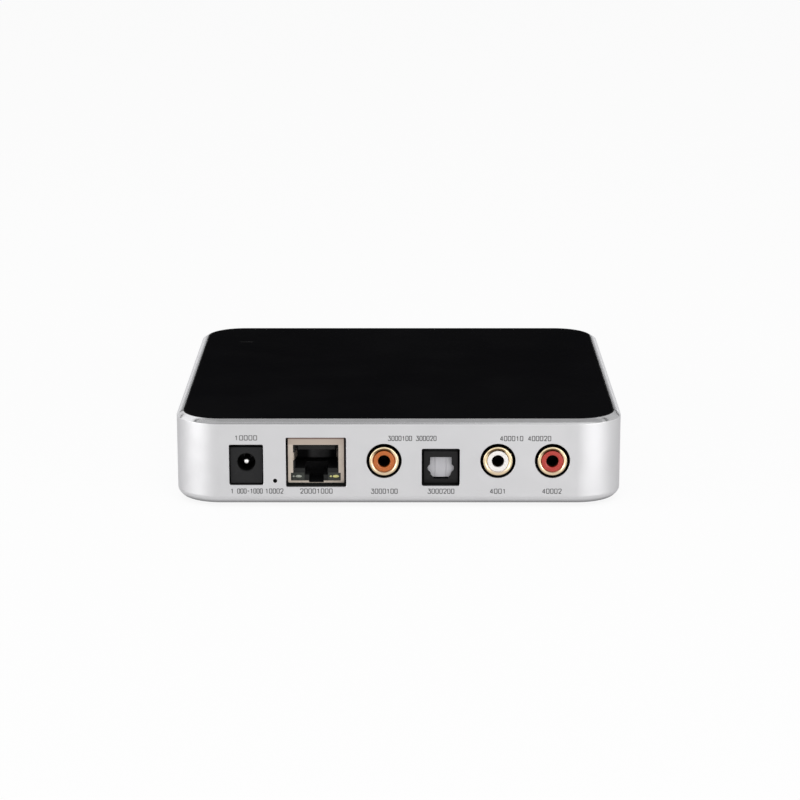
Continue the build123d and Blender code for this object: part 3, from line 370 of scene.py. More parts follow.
def makeDustGroup():
    # specks that settle on what faces up
    group, given, result = newGroup("dust", ["Amount"], ["Mask"])
    facing = addNode(group, "NewGeometry").outputs["Normal"]
    up = addNode(group, "SeparateXYZ", {"Vector": facing}).outputs[2]
    specks = ramp(group, noise(group, given["Place"], 2600.0, 1.0), 0.74, 0.80)
    veil = product(group, ramp(group, noise(group, given["Place"], 60.0), 0.35, 0.75), 0.25)
    mask = product(group, mathNode(group, "ADD", specks, veil), ramp(group, up, 0.6, 1.0))
    group.links.new(product(group, mask, given["Amount"], use_clamp=True), result.inputs["Mask"])


def makeAxisGroup():
    # a place split into its parts and its distance from the line along Y
    group, given, result = newGroup("axis", [], ("X", "Y", "Z", "Radius"))
    parts = addNode(group, "SeparateXYZ", {"Vector": given["Place"]}).outputs
    squares = product(group, parts[0], parts[0], product(group, parts[2], parts[2]))
    for label, value in zip(("X", "Y", "Z", "Radius"), (*parts, mathNode(group, "SQRT", squares))):
        group.links.new(value, result.inputs[label])


for makeGroup in (makeSkinGroup, makeScuffGroup, makeAxisGroup, makeRingGroup, makeDustGroup):
    makeGroup()
print("node groups:", len(bpy.data.node_groups))


def rgb(colour):
    # three numbers, or one for a neutral grey
    return (*np.broadcast_to(colour, 3).tolist(), 1.0)


def useSkin(tree, where, colour, drift, broad, fine, roughness):
    # broad and fine are the scales of its noises
    return useGroup(
        tree, "skin", Place=where, Colour=rgb(colour), Drift_Colour=rgb(drift), Drift_Scale=broad,
        Grain_Scale=fine, Roughness_Low=roughness[0], Roughness_High=roughness[1],
    )


def startMaterial(name, shaderValues):
    material = bpy.data.materials.new(name)
    material.use_nodes = True
    tree = material.node_tree
    shader = tree.nodes["Principled BSDF"]
    for label, value in shaderValues.items():
        shader.inputs[label].default_value = value
    where = addNode(tree, "TexCoord").outputs["Object"]
    return material, tree, shader, where


def finish(
    name, colour, drift, roughness, broad=150, fine=5000, depth=0.004, stretch=(1, 1, 1),
    scuffs=0.0, scuffColour=0.5, rings=None, centre=(0, 0, 0), dust=0.0, gloss=0.5, metal=0.0,
):
    # a surface from the shared skin, with tool rings, scuffs and dust where it has them
    material, tree, shader, where = startMaterial(name, {"Metallic": metal, "Specular IOR Level": gloss})
    mapped = mapPlace(tree, where, Location=aroundCentre(centre), Scale=stretch)
    skin = useSkin(tree, mapped, colour, drift, broad, fine, roughness)
    shown, rough, height = skin["Colour"], skin["Roughness"], skin["Height"]
    if rings:
        ridges = useGroup(tree, "rings", Place=mapped, Pitch=rings * mm)[0]
        height = product(tree, ridges, 0.4, height)
    if scuffs:
        mask = useGroup(tree, "scuffs", Place=where, Scale=400.0, Amount=scuffs)[0]
        shown = mixColours(tree, mask, shown, rgb(scuffColour))
        rough = product(tree, mask, 0.25, rough)
    if dust:
        mask = useGroup(tree, "dust", Place=where, Amount=dust)[0]
        shown = mixColours(tree, mask, shown, rgb((0.45, 0.44, 0.42)))
        rough = mixValues(tree, mask, rough, 0.8)
    addSurface(tree, shader, shown, rough, height, 0.6, depth)
    return material


def shadeWhere(look, spans, colour, centre=(0, 0, 0), amount=1.0):
    # paints light and shade: lays another tone where every span holds; a span goes from 0 at its first number
    # to 1 at its second
    tree = bpy.data.materials[look].node_tree
    base = tree.nodes["Principled BSDF"].inputs["Base Color"]
    where = addNode(tree, "TexCoord").outputs["Object"]
    parts = useGroup(tree, "axis", Place=mapPlace(tree, where, Location=aroundCentre(centre)))
    mask = amount
    for part, low, high in spans:
        mask = product(tree, ramp(tree, parts[part], low * mm, high * mm), mask)
    tree.links.new(mixColours(tree, mask, base.links[0].from_socket, rgb(colour)), base)


# Stage and light

studio = {
    "floorRadius": 6.0,
    "floorColour": (0.92, 0.92, 0.92, 1),
    "shadowShare": 0.10,  # how much of the floor's own shading the camera still sees
    "glossShare": 0.5,  # and how much of it shows in gloss
    "ambient": 0.62,
}

# flags that only gloss sees: azimuths from the back and elevations in degrees, glow, and distance in m
flags = {
    "darkFlag": ((-11, 11), (9, 27), 0.012),
    "greyFlag": ((-75, 34), (52, 120), 0.44),
    "leftFlag": ((34, 130), (56, 89), 0.56),
    "leftGlow": ((22, 90), (27, 50), 1.2),
    "sideFlag": ((-62, -14), (12, 52), 0.66),
    "leftEdgeFlag": ((11, 20), (4.5, 12), 0.2),
    "rightEdgeFlag": ((-20, -11), (4.5, 12), 0.2),
    "leftEdgeGlow": ((11, 22), (0.1, 3.5), 1.4),
    "rightEdgeGlow": ((-22, -11), (0.1, 3.5), 1.4),
    "leftSeamHigh": ((36, 70), (51, 54.5), 0.0, 2.3),
    "leftSeamLow": ((26, 40), (22, 25.5), 0.0, 2.3),
    "rightSeamHigh": ((-64, -34), (44, 47.5), 0.0, 2.3),
    "rightSeamLow": ((-30, -21), (11.5, 15.5), 0.0, 2.3),
}

# lamps: azimuth from the front and elevation in degrees, distance and size in m, glow, shown in gloss
softBoxes = {
    "leftBox": (-65, 7, 1.3, (1.2, 0.42), 5.9, True),
    "rightBox": (48, 7, 1.3, (1.3, 0.42), 5.4, True),
    "topBox": (4, 50, 1.5, (1.5, 1.0), 1.1, False),
}

photoView = {
    "lens": 117.855,
    "place": (0.0017, -0.76606, 0.20007),
    "pitch": 15.05,
    "shift": (-0.00594, 0.08700),
}


def glossRays(tree):
    # the light path, and 1 for what shows in gloss or through clear pieces
    path = addNode(tree, "LightPath").outputs
    return path, mathNode(tree, "MAXIMUM", path["Is Glossy Ray"], path["Is Transmission Ray"])


def makeWorld():
    world = bpy.data.worlds.new("studio")
    bpy.context.scene.world = world
    world.use_nodes = True
    tree = world.node_tree
    tree.nodes.clear()
    ambient, white = (
        addNode(tree, "Background", {"Color": (1, 1, 1, 1), "Strength": strength}).outputs[0]
        for strength in (studio["ambient"], 1.0)
    )
    path, gloss = glossRays(tree)
    seen = mathNode(tree, "MAXIMUM", path["Is Camera Ray"], gloss)
    mix = addNode(tree, "MixShader", {0: seen, 1: ambient, 2: white})
    addNode(tree, "OutputWorld", {"Surface": mix.outputs[0]})


def emptyMaterial(name):
    material = bpy.data.materials.new(name)
    material.use_nodes = True
    material.node_tree.nodes.clear()
    return material, material.node_tree


def makeFloor():
    # a flat disc: x = r cos a, y = r sin a
    radius = np.linspace(0, studio["floorRadius"] / mm, 8)
    grid = turnedPost(np.stack([radius, np.zeros(8)], 1), 0, 0, 48)
    mesh = tidied(meshFrom("paleFloor", *shell(grid, closedColumns=False)), turnOut=False)
    floor = addObject("paleFloor", mesh)
    material, tree = emptyMaterial("paleFloor")
    cloth = addNode(tree, "BsdfDiffuse", {"Color": studio["floorColour"]})
    white = addNode(tree, "Emission", {"Color": (1, 1, 1, 1)})
    path, gloss = glossRays(tree)
    direct = product(tree, path["Is Camera Ray"], 1 - studio["shadowShare"])
    share = product(tree, gloss, 1 - studio["glossShare"], direct)
    mix = addNode(tree, "MixShader", {0: share, 1: cloth.outputs[0], 2: white.outputs[0]})
    addNode(tree, "OutputMaterial", {"Surface": mix.outputs[0]})
    wear(mesh, material)


def makeFlag(name, across, up, glow, distance=2.4):
    # a patch of a sphere round the set: azimuth runs one way and elevation the other
    turn = np.radians(90 + np.linspace(*across, 24))[:, None]
    lift = np.radians(np.linspace(*up, 16))
    radius = distance / mm
    grid = pointGrid(
        radius * np.cos(turn) * np.cos(lift), radius * np.sin(turn) * np.cos(lift), radius * np.sin(lift)
    )
    mesh = meshFrom(name, grid.reshape(-1, 3), gridFaces(24, 16, False, False).tolist())
    flag = addObject(name, mesh)
    material, tree = emptyMaterial(name)
    light = addNode(tree, "Emission", {"Color": (1, 1, 1, 1), "Strength": glow})
    addNode(tree, "OutputMaterial", {"Surface": light.outputs[0]})
    wear(mesh, material)
    flag.visible_camera = flag.visible_diffuse = flag.visible_shadow = flag.visible_transmission = False


def makeSoftBox(name, azimuth, elevation, distance, size, glow, inGloss):
    light = bpy.data.lights.new(name, "AREA")
    light.shape = "RECTANGLE"
    light.size, light.size_y = size
    light.energy = glow * math.pi * size[0] * size[1]
    lamp = addObject(name, light)
    turn, lift = math.radians(azimuth), math.radians(elevation)
    away = Vector((math.sin(turn) * math.cos(lift), -math.cos(turn) * math.cos(lift), math.sin(lift)))
    lamp.location = away * distance
    lamp.rotation_euler = away.to_track_quat("Z", "Y").to_euler()
    lamp.visible_camera, lamp.visible_glossy = False, inGloss


def makeCamera():
    camera = bpy.data.cameras.new("photoView")
    camera.sensor_width, camera.lens = 36.0, photoView["lens"]
    camera.shift_x, camera.shift_y = photoView["shift"]
    camera.clip_start, camera.clip_end = 0.01, 50.0
    eye = addObject("photoView", camera)
    eye.location = photoView["place"]
    eye.rotation_euler = (math.radians(90 - photoView["pitch"]), 0, 0)
    bpy.context.scene.camera = eye


makeWorld()
makeFloor()
for flagName, flag in flags.items():
    makeFlag(flagName, *flag)
for boxName, box in softBoxes.items():
    makeSoftBox(boxName, *box)
makeCamera()
bpy.context.scene.view_settings.view_transform = "Standard"
print("stage, lights and camera")

# Case

case = {
    "half": 62.5,
    "cornerRadius": 13.0,
    "cornerSteps": 72,
    "bottom": 1.0,
    "top": 25.0,
    "wall": 2.0,
    "baseChamfer": 1.4,
    "bevelRun": 1.85,
    "bevelDrop": 1.15,
    "bevelFullness": 0.09,
    "ledgeTop": 22.7,
    "ledgeBottom": 21.2,
    "ledgeWidth": 3.0,
    "lip": 0.07,
    "socketWall": 1.2,
    "pocket": {"x": (-50.1, 50.55), "z": (2.8, 21.5), "radius": 1.5, "back": 3.2},
    "ledgeGap": {"x": (-50.1, 50.55), "y": (-60.5, -56.4), "z": (20.2, 23.0)},
    "boss": {"place": 55.5, "radius": 3.2, "base": 2.8, "bore": 1.05, "boreTop": 9.7},
    "cutStart": 0.6,  # a socket's cutter starts this far in front of the wall
    "cutDepth": 3.0,
}
bevelEdge = case["top"] - case["bevelDrop"]

sockets = {
    "power": {"x": -42.4, "z": (6.45, 18.0), "width": 9.48, "radius": 0.45},
    "network": {"x": -22.98, "z": (5.92, 20.0), "width": 16.75, "radius": 0.4},
    "optical": {"x": 11.71, "z": (6.2, 16.84), "width": 10.58, "radius": 0.5},
    "coaxial": {"x": -4.05, "z": 13.37, "hole": 4.88},
    "left": {"x": 27.6, "z": 13.37, "hole": 4.88},
    "right": {"x": 42.75, "z": 13.37, "hole": 4.88},
    "reset": {"x": -34.4, "z": 7.65, "hole": 0.58},
}


def makeCaseAluminium():
    # bead-blasted flanks, and a bright milled bevel round the top
    material, tree, shader, where = startMaterial(
        "caseAluminium", {"Metallic": 1.0, "Specular Tint": (0.74, 0.74, 0.75, 1)}
    )
    parts = addNode(tree, "SeparateXYZ", {"Vector": where}).outputs
    skin = useSkin(tree, where, (0.640, 0.636, 0.646), (0.615, 0.612, 0.622), 45, 5200, (0.36, 0.42))
    bevel = ramp(tree, parts[2], bevelEdge * mm, (bevelEdge + 0.03) * mm)
    mill = noise(tree, mapPlace(tree, where, Scale=(0.05, 0.05, 1)), 9000.0, 2.0)
    bright = mixColours(tree, mill, rgb((0.66, 0.66, 0.67)), rgb((0.76, 0.76, 0.77)))
    scuff = useGroup(tree, "scuffs", Place=where, Scale=260.0, Amount=0.10)[0]
    flank = mixColours(tree, scuff, skin["Colour"], rgb((0.56, 0.56, 0.57)))
    shown = mixColours(tree, bevel, flank, bright)
    rough = mixValues(tree, bevel, skin["Roughness"], product(tree, mill, 0.08, 0.12))
    height = mixValues(tree, bevel, skin["Height"], product(tree, mill, 0.25))
    addSurface(tree, shader, shown, rough, height, 0.5, 0.003)
    return material


caseAluminium = makeCaseAluminium()
# painted shade: the case darker towards its base edge, for the floor's shadow it reflects there
shadeWhere("caseAluminium", [("Z", 2.5, 1.0)], (0.20, 0.20, 0.205), amount=0.8)
# painted shade: the case's inner faces near-black, for the same aluminium lying in shadow
caseInsideShade = finish("caseInsideShade", (0.018, 0.018, 0.019), (0.028, 0.028, 0.03), (0.55, 0.7))


def caseProfile():
    # once round the wall: (inset from the outline, height)
    c = case
    # the bevel is slightly full: a sine of the way along its chord, pushed out square to it
    way = np.linspace(0, 1, 9)[1:-1, None]
    chord = np.array([c["bevelRun"], c["bevelDrop"]])
    square = np.array([-chord[1], chord[0]]) / np.linalg.norm(chord)
    bulge = [0, bevelEdge] + way * chord + np.sin(way * math.pi) * c["bevelFullness"] * square
    ledge = c["wall"] + c["ledgeWidth"]
    points = [(c["baseChamfer"], c["bottom"]), (0, c["bottom"] + c["baseChamfer"]), (0, bevelEdge), *bulge]
    points += [(c["bevelRun"], c["top"]), (c["wall"], c["top"]), (c["wall"], c["ledgeTop"])]
    points += [(ledge, c["ledgeTop"]), (ledge, c["ledgeBottom"]), (c["wall"], c["ledgeBottom"])]
    points.append((c["wall"], c["bottom"]))
    ease = [0.3, 0.9, 0.07, *[0] * len(bulge), 0.12, 0.03, 0, 0.1, 0.1, 0, 0.05]
    return easedCorners(points, ease, 6)


def boxGrid(x, y, z, radius=0.02, steps=4):
    # a block as a rounded outline in X and Z between two depths
    depths = [(depth, 0) for depth in y]
    return windowLoft(depths, sum(x) / 2, sum(z) / 2, x[1] - x[0], z[1] - z[0], radius, steps)


def socketCutters():
    front, lip, start = -case["half"], case["lip"], case["cutStart"]
    end = front + case["cutDepth"]
    through = ((front - start, lip + start), (front + lip, 0), (end, 0))
    cutters = []
    for name, socket in sockets.items():
        if "hole" in socket:
            hole = socket["hole"]
            edge, steps = (lip, 128) if hole > 1 else (lip / 2, 48)
            profile = [(0, front - start), (hole + edge + start, front - start)]
            profile += [(hole, front + edge), (hole, end), (0, end)]
            cutters.append(shell(turnedRing(profile, socket["x"], socket["z"], steps), False))
        else:
            low, high = socket["z"]
            middle, tall = (low + high) / 2, high - low
            cutters.append(
                solid(windowLoft(through, socket["x"], middle, socket["width"], tall, socket["radius"]))
            )
    return cutters


def makeCase():
    c = case
    ring = roundedSquareRing(caseProfile(), c["half"], c["cornerRadius"], c["cornerSteps"])
    mesh = tidied(meshFrom("caseRing", *shell(ring)))
    pocket, gap = c["pocket"], c["ledgeGap"]
    depths = (-c["half"] + c["socketWall"], -c["half"] + pocket["back"])
    hollow = boxGrid(pocket["x"], depths, pocket["z"], pocket["radius"], 12)
    cutters = [solid(hollow), solid(boxGrid(gap["x"], gap["y"], gap["z"]))]
    mesh = cutAway(mesh, cutters + socketCutters())
    boss, bossTop = c["boss"], c["ledgeBottom"]
    profile = [(boss["bore"], boss["base"]), (boss["bore"], boss["boreTop"]), (0, boss["boreTop"])]
    profile += [(0, bossTop), (boss["radius"], bossTop), (boss["radius"], boss["base"])]
    places = (-boss["place"], boss["place"])
    posts = [shell(turnedPost(profile, x, y)) for x in places for y in places]
    work = bmesh.new()
    for part in (mesh, tidied(meshFrom("bosses", *joined(posts)))):
        work.from_mesh(part)
    work.to_mesh(mesh)
    work.free()
    mesh.name = "caseRing"
    markInside(tidied(mesh, 2e-7, turnOut=False))
    piece = addObject("enclosure_ring", shaded(mesh, 28))
    evenNormals(piece)
    return place(piece, "case", "anodised_aluminium", ("enclosure_frame",))


def markInside(mesh):
    # faces more than a hair inside the case's outline take the near-black inner material, painted shade for
    # the inside of the same aluminium
    wear(mesh, caseAluminium, caseInsideShade)
    centres = np.empty(len(mesh.polygons) * 3)
    mesh.polygons.foreach_get("center", centres)
    *plan, z = (centres.reshape(-1, 3) / mm).T
    overX, overY = (abs(part) - (case["half"] - case["cornerRadius"]) for part in plan)
    outside = np.hypot(np.maximum(overX, 0), np.maximum(overY, 0)) + np.minimum(np.maximum(overX, overY), 0)
    inset = case["cornerRadius"] - outside
    skinDeep = inset < 0.12
    rim = (z > bevelEdge - 0.05) & (inset < case["wall"] - 0.02)
    base = (z < case["bottom"] + case["baseChamfer"]) & (inset < case["baseChamfer"] + 0.05)
    mesh.polygons.foreach_set("material_index", np.where(skinDeep | rim | base, 0, 1).astype(np.int32))


makeCase()
print("case ring with its socket openings")

# Gloss top

topPlate = {
    "inset": 2.1,
    "bottom": 23.0,
    "top": 25.0,
    "edge": 0.22,
    "slot": {"x": -48.0, "y": 40.0, "length": 3.9, "width": 1.4},
}


def makeGlossBlack():
    # a lacquered black plate: deep, with hair-fine wiping marks and a few specks
    material, tree, shader, where = startMaterial(
        "glossBlack", {"Specular IOR Level": 0.0, "Coat Weight": 0.16, "Coat Roughness": 0.05}
    )
    skin = useSkin(tree, where, (0.0034, 0.0034, 0.004), (0.0048, 0.0048, 0.0054), 26, 2400, (0.045, 0.075))
    wipe = useGroup(tree, "scuffs", Place=where, Scale=120.0, Amount=0.02)[0]
    dust = useGroup(tree, "dust", Place=where, Amount=0.01)[0]
    shown = mixColours(tree, dust, skin["Colour"], rgb(0.30))
    rough = product(tree, wipe, 0.5, skin["Roughness"])
    addSurface(tree, shader, shown, rough, noise(tree, where, 90.0, 2.0), 0.15, 0.004)
    return material


def makeTopPlate():
    t = topPlate
    inset, edge = t["inset"], t["edge"]
    turn = np.linspace(0, 1, 6)[:, None]
    start, corner, end = np.array([[inset, t["top"] - edge], [inset, t["top"]], [inset + edge, t["top"]]])
    rounded = (1 - turn) ** 2 * start + 2 * turn * (1 - turn) * corner + turn**2 * end
    profile = [(inset, t["bottom"]), *rounded]
    grid = roundedSquareRing(profile, case["half"], case["cornerRadius"], case["cornerSteps"])
    mesh = tidied(meshFrom("topPlate", *solid(grid)))
    slot = t["slot"]
    low, high, lip = t["bottom"] - 1, t["top"] + 0.6, 0.05
    straight = slot["length"] - slot["width"]
    angle = np.linspace(-math.pi / 2, 1.5 * math.pi, 64, endpoint=False)
    side = np.where(np.cos(angle) >= 0, 1, -1) * straight / 2
    reach = slot["width"] / 2 + np.array([0, 0, lip + 0.6])
    heights = np.array([low, t["top"] - lip, high])
    around = angle[:, None]
    cutter = pointGrid(
        slot["x"] + side[:, None] + np.cos(around) * reach, slot["y"] + np.sin(around) * reach, heights
    )
    mesh = cutAway(mesh, [solid(cutter)])
    wear(mesh, makeGlossBlack())
    piece = addObject("gloss_top", shaded(tidied(mesh, turnOut=False), 28))
    evenNormals(piece)
    return place(piece, "case", "black_panel", ("top_panel",))


makeTopPlate()
print("gloss top")

# Phono sockets

phono = {
    "axis": 13.3,
    "front": -62.8,
    "barrelRadius": 4.15,
    "bore": 2.98,
    "outerEdge": 0.45,
    "innerEdge": 0.5,
    "flangeFront": -55.2,
    "flangeRadius": 4.6,
    "back": -54.5,
    "insertFront": -62.76,
    "insertRadius": 2.95,
    "hole": 1.72,
    "insertBack": -53.87,
    "seat": (-60.8, -54.57, 1.95),  # front, back, radius
    "contact": (-60.8, -54.6, 1.62, 1.92),  # front, back, inner and outer radius
}

# each insert's slot, colour and drift, and how strong the gap's shade and the light in the rim are
phonoLooks = {
    "coaxial": ("orange_insert", (0.40, 0.101, 0.0125), (0.355, 0.087, 0.010), 0.4, 0.0),
    "left": ("white_insert", (0.71, 0.685, 0.66), (0.67, 0.645, 0.62), 0.1, 0.9),
    "right": ("red_insert", (0.37, 0.032, 0.021), (0.33, 0.026, 0.017), 0.4, 0.0),
}


def turnedPiece(name, profile, x, z, material, slot, stands, steps=128, closed=True):
    mesh = tidied(meshFrom(name, *shell(turnedRing(profile, x, z, steps), closed)))
    wear(mesh, material)
    piece = addObject(name, shaded(mesh, 30))
    evenNormals(piece)
    return place(piece, "case", slot, stands)


def makePhonoSocket(name, x):
    p = phono
    paleGold = finish(
        f"paleGold_{name}", (1.0, 0.85, 0.58), (0.97, 0.79, 0.50), (0.34, 0.42), broad=300, fine=7000,
        depth=0.002, rings=0.03, centre=(x, 0, p["axis"]), metal=1,
    )
    axis = (x, p["front"], p["axis"])
    slot, colour, drift, gap, bounce = phonoLooks[name]
    rimShadow = (0.02, 0.015, 0.010)
    # painted light on the gold: painted shade on the outer band's sides, the lower part, under the top and in
    # the gap, a painted reflection of the white insert inside the lower rim, and painted shadow lines round
    # the outer rim
    for spans, tone, amount in (
        ([("Radius", 3.45, 3.9), ("Z", 3.3, 2.4)], (0.52, 0.42, 0.28), 0.9),  # outer band
        ([("Z", -2.0, -3.2)], (0.66, 0.52, 0.36), 0.8),  # lower part
        ([("Radius", 3.95, 3.58), ("Z", 1.2, 2.8), ("X", 2.7, 1.5)], (0.15, 0.09, 0.04), 1.0),  # under top
        ([("Radius", 3.08, 3.0)], (0.25, 0.16, 0.08), gap),
        ([("Radius", 3.12, 3.0), ("Z", 0.5, 2.0)], (0.02, 0.012, 0.006), 1.0),  # the gap's upper part
        ([("Radius", 3.35, 3.15), ("Z", -1.0, -2.0)], (0.95, 0.88, 0.84), bounce),
        ([("Radius", 4.03, 4.11)], rimShadow, 1.0),
        ([("Radius", 3.9, 4.06), ("Z", -2.2, -3.4)], rimShadow, 0.8),
    ):
        shadeWhere(paleGold.name, spans, tone, axis, amount)
    moulding = finish(
        f"{name}Insert", colour, drift, (0.32, 0.42), broad=350, fine=6000, centre=(x, 0, p["axis"]),
    )
    # painted shade inside the insert's hole, darker deeper in
    shadeWhere(moulding.name, [("Radius", 1.9, 1.76), ("Y", 0.25, 1.3)], (0.004, 0.003, 0.003), axis)
    # the contacts' gold made near-black: painted shade, deep inside the hole
    contactGoldShade = finish(
        f"contactGoldShade_{name}", (0.03, 0.018, 0.008), (0.02, 0.012, 0.006), (0.45, 0.6), fine=8000,
        rings=0.04, centre=(x, 0, p["axis"]), metal=1,
    )
    front, back = p["front"], p["back"]
    outer, bore = p["barrelRadius"], p["bore"]
    turn = np.linspace(0, math.pi / 2, 10)
    rounded = np.stack(
        [outer - p["outerEdge"] * (1 - np.sin(turn)), front + p["outerEdge"] * (1 - np.cos(turn))], 1
    )
    inner, flange, step = p["innerEdge"], p["flangeRadius"], p["flangeFront"]
    barrel = [(bore, front + inner), (bore + 0.5 * inner, front + 0.34 * inner), (bore + inner, front)]
    barrel += [*rounded, (outer, step), (flange, step), (flange, back), (bore, back)]
    turnedPiece(f"{name}_barrel", barrel, x, p["axis"], paleGold, "pale_gold", (f"{name}_jack_barrel",))
    seatFront, seatBack, seatRadius = p["seat"]
    hole, rim, face, rear = p["hole"], p["insertRadius"], p["insertFront"], p["insertBack"]
    insert = [(hole, face + 0.3), (hole + 0.06, face + 0.12), (hole + 0.22, face + 0.02), (hole + 0.4, face)]
    insert += [(rim - 0.16, face), (rim - 0.04, face + 0.04), (rim, face + 0.16), (rim, rear), (hole, rear)]
    insert += [(hole, seatBack), (seatRadius, seatBack), (seatRadius, seatFront), (hole, seatFront)]
    turnedPiece(f"{name}_insert", insert, x, p["axis"], moulding, slot, (f"{name}_jack_insert",))
    near, far, inner, outside = p["contact"]
    contact = [(inner + 0.1, near), (outside, near), (outside, far), (inner, far), (inner, near + 0.1)]
    turnedPiece(
        f"{name}_contact", contact, x, p["axis"], contactGoldShade, "gold_contact", (f"{name}_jack_contact",), 64
    )


for socketName in phonoLooks:
    makePhonoSocket(socketName, sockets[socketName]["x"])
print("phono sockets")

# Power socket

power = {
    "x": -42.4, "axis": 12.8, "front": -61.7, "pinRadius": 0.82, "pinTip": -60.8, "dome": 0.45,
    "root": -52.2, "collar": 1.38, "end": -49.0,
}

finishes = (
    finish(
        "socketBlack", (0.0075, 0.0075, 0.008), (0.0105, 0.0105, 0.011), (0.5, 0.62), broad=220, fine=6500,
        depth=0.006, scuffs=0.05, scuffColour=0.05, gloss=0.22,
    ),
    finish(
        "nickel", (0.90, 0.89, 0.88), (0.82, 0.81, 0.79), (0.32, 0.42), fine=8000, rings=0.03,
        centre=(power["x"], 0, power["axis"]), metal=1,
    ),
    finish("leafShade", 0.02, 0.03, (0.5, 0.65), fine=7000, stretch=(1, 0.1, 1), metal=1),
    finish(
        "satinNickel", (0.62, 0.545, 0.47), (0.56, 0.49, 0.42), (0.34, 0.46), broad=260, fine=2600,
        depth=0.002, stretch=(0.12, 1, 1), scuffs=0.12, scuffColour=(0.7, 0.66, 0.6), metal=1,
    ),
    # the housings' black plastic, darker and less glossy than socketBlack: painted shade for the sockets'
    # insides
    finish(
        "cavityShadeBlack", (0.0045, 0.0045, 0.005), (0.007, 0.007, 0.0075), (0.6, 0.75), broad=300, gloss=0.08,
    ),
    # the contacts' gold, dimmed well below bright gold: painted shade for their place deep in the mouth
    finish(
        "wireGold", (0.42, 0.34, 0.22), (0.34, 0.27, 0.17), (0.35, 0.5), broad=500, stretch=(1, 0.1, 1),
        metal=1,
    ),
    finish(
        "windowGrey", (0.031, 0.034, 0.030), (0.038, 0.041, 0.036), (0.4, 0.5), broad=700, depth=0.002,
        gloss=0.2,
    ),
    finish("shutterGrey", (0.395, 0.39, 0.41), (0.44, 0.435, 0.455), (0.38, 0.5), broad=260, depth=0.005),
    finish(
        "rubberBlack", (0.02, 0.02, 0.021), (0.03, 0.03, 0.031), (0.75, 0.9), fine=3500, depth=0.01,
        dust=0.2,
    ),
    finish(
        "plateBlack", (0.035, 0.035, 0.038), (0.045, 0.045, 0.048), (0.55, 0.68), broad=60, fine=3800,
        depth=0.012, scuffs=0.12, scuffColour=0.14,
    ),
    finish(
        "screwBlack", (0.07, 0.07, 0.075), (0.1, 0.1, 0.105), (0.3, 0.45), broad=500, scuffs=0.3,
        scuffColour=0.35, metal=1,
    ),
    finish("clearPipe", 0.006, 0.010, (0.06, 0.1), broad=700, depth=0.002, gloss=0.15),
)
finishes = {material.name: material for material in finishes}

network = {
    "x": -22.98,
    "front": -60.2,
    "mouth": {"halfWidth": 6.2, "left": 6.46, "top": 17.42, "shoulder": 9.35},
    "leftLight": {"inner": 6.78, "outer": 7.1, "z": (7.1, 9.36)},
    "latch": {"halfWidth": 2.05, "floor": 6.62, "depth": 8.0},
    "comb": {"halfWidth": 5.2, "front": -58.0, "back": -57.6, "z": (15.5, 17.3)},
}
shellMiddle = (network["x"], network["front"], 0)
# painted shade: the shell darker towards its right side
shadeWhere("satinNickel", [("X", 1.0, 8.0)], (0.42, 0.36, 0.31), shellMiddle, 0.7)
# painted shade: the shell darker above the mouth, under the opening's top edge
shadeWhere("satinNickel", [("Z", 17.3, 17.7)], (0.44, 0.365, 0.31), amount=0.8)
# painted shadow: a dark line on the shell under the opening's top edge
shadeWhere("satinNickel", [("Z", 19.03, 19.12)], (0.2, 0.14, 0.12))
# painted light: the housing's front faces and a patch of the cavity's back wall lighter than their black
frontFacesLight = [("Y", 0.6, 0.4), ("X", -9, -8.5), ("X", 9, 8.5)]
backWallLight = [("Y", 11.8, 12.3), ("X", -3.2, -1.2), ("X", 4.2, 1.8)]
shadeWhere("cavityShadeBlack", frontFacesLight, (0.0185, 0.019, 0.0185), shellMiddle)
shadeWhere("cavityShadeBlack", backWallLight, (0.105, 0.105, 0.108), shellMiddle)
# painted shade: dark lines along the shell's folded edges
for span in (("X", 7.69, 7.75), ("X", -7.8, -7.86), ("Z", 6.62, 6.54), ("Z", 19.45, 19.55)):
    hidden = [("Y", 0.2, 0.4)] if span[0] == "Z" or span[1] < 0 else []
    shadeWhere("satinNickel", [span, *hidden], (0.03, 0.025, 0.022), shellMiddle)
tip, root, end = power["pinTip"], power["root"], power["end"]
pinProfile = [(0, tip)]
for turn in np.linspace(0.15, math.pi / 2, 9):
    pinProfile.append((power["pinRadius"] * math.sin(turn), tip + power["dome"] * (1 - math.cos(turn))))
pinProfile += [(power["pinRadius"], root), (power["collar"], root), (power["collar"], end), (0, end)]
turnedPiece(
    "power_pin", pinProfile, power["x"], power["axis"], finishes["nickel"], "bright_pin",
    ("power_socket_pin",), 64, closed=False,
)
# painted shade inside the power socket's bore, darker deeper in
shadeWhere(
    "socketBlack", [("Radius", 2.62, 2.5), ("Y", 0.15, 0.35)], 0.0015,
    (power["x"], power["front"], power["axis"]),
)
pinEnd = (power["x"], tip, power["axis"])
# painted shade on the pin: darker deeper in the bore and round the tip's middle, which leaves a round
# highlight
shadeWhere("nickel", [("Y", 0.5, 0.9)], 0.02, pinEnd)
shadeWhere("nickel", [("Radius", 0.42, 0.66)], 0.05, pinEnd)
dressedCopy("power_socket_body", "socketBlack", "socket_black", 0.1, 3)
dressedCopy("power_socket_leaf", "leafShade", "bright_pin", 0.03)
dressedCopy("reset_button", "socketBlack", "socket_black", 0.04, body="reset_button")
print("power socket and reset")

# Network and optical sockets


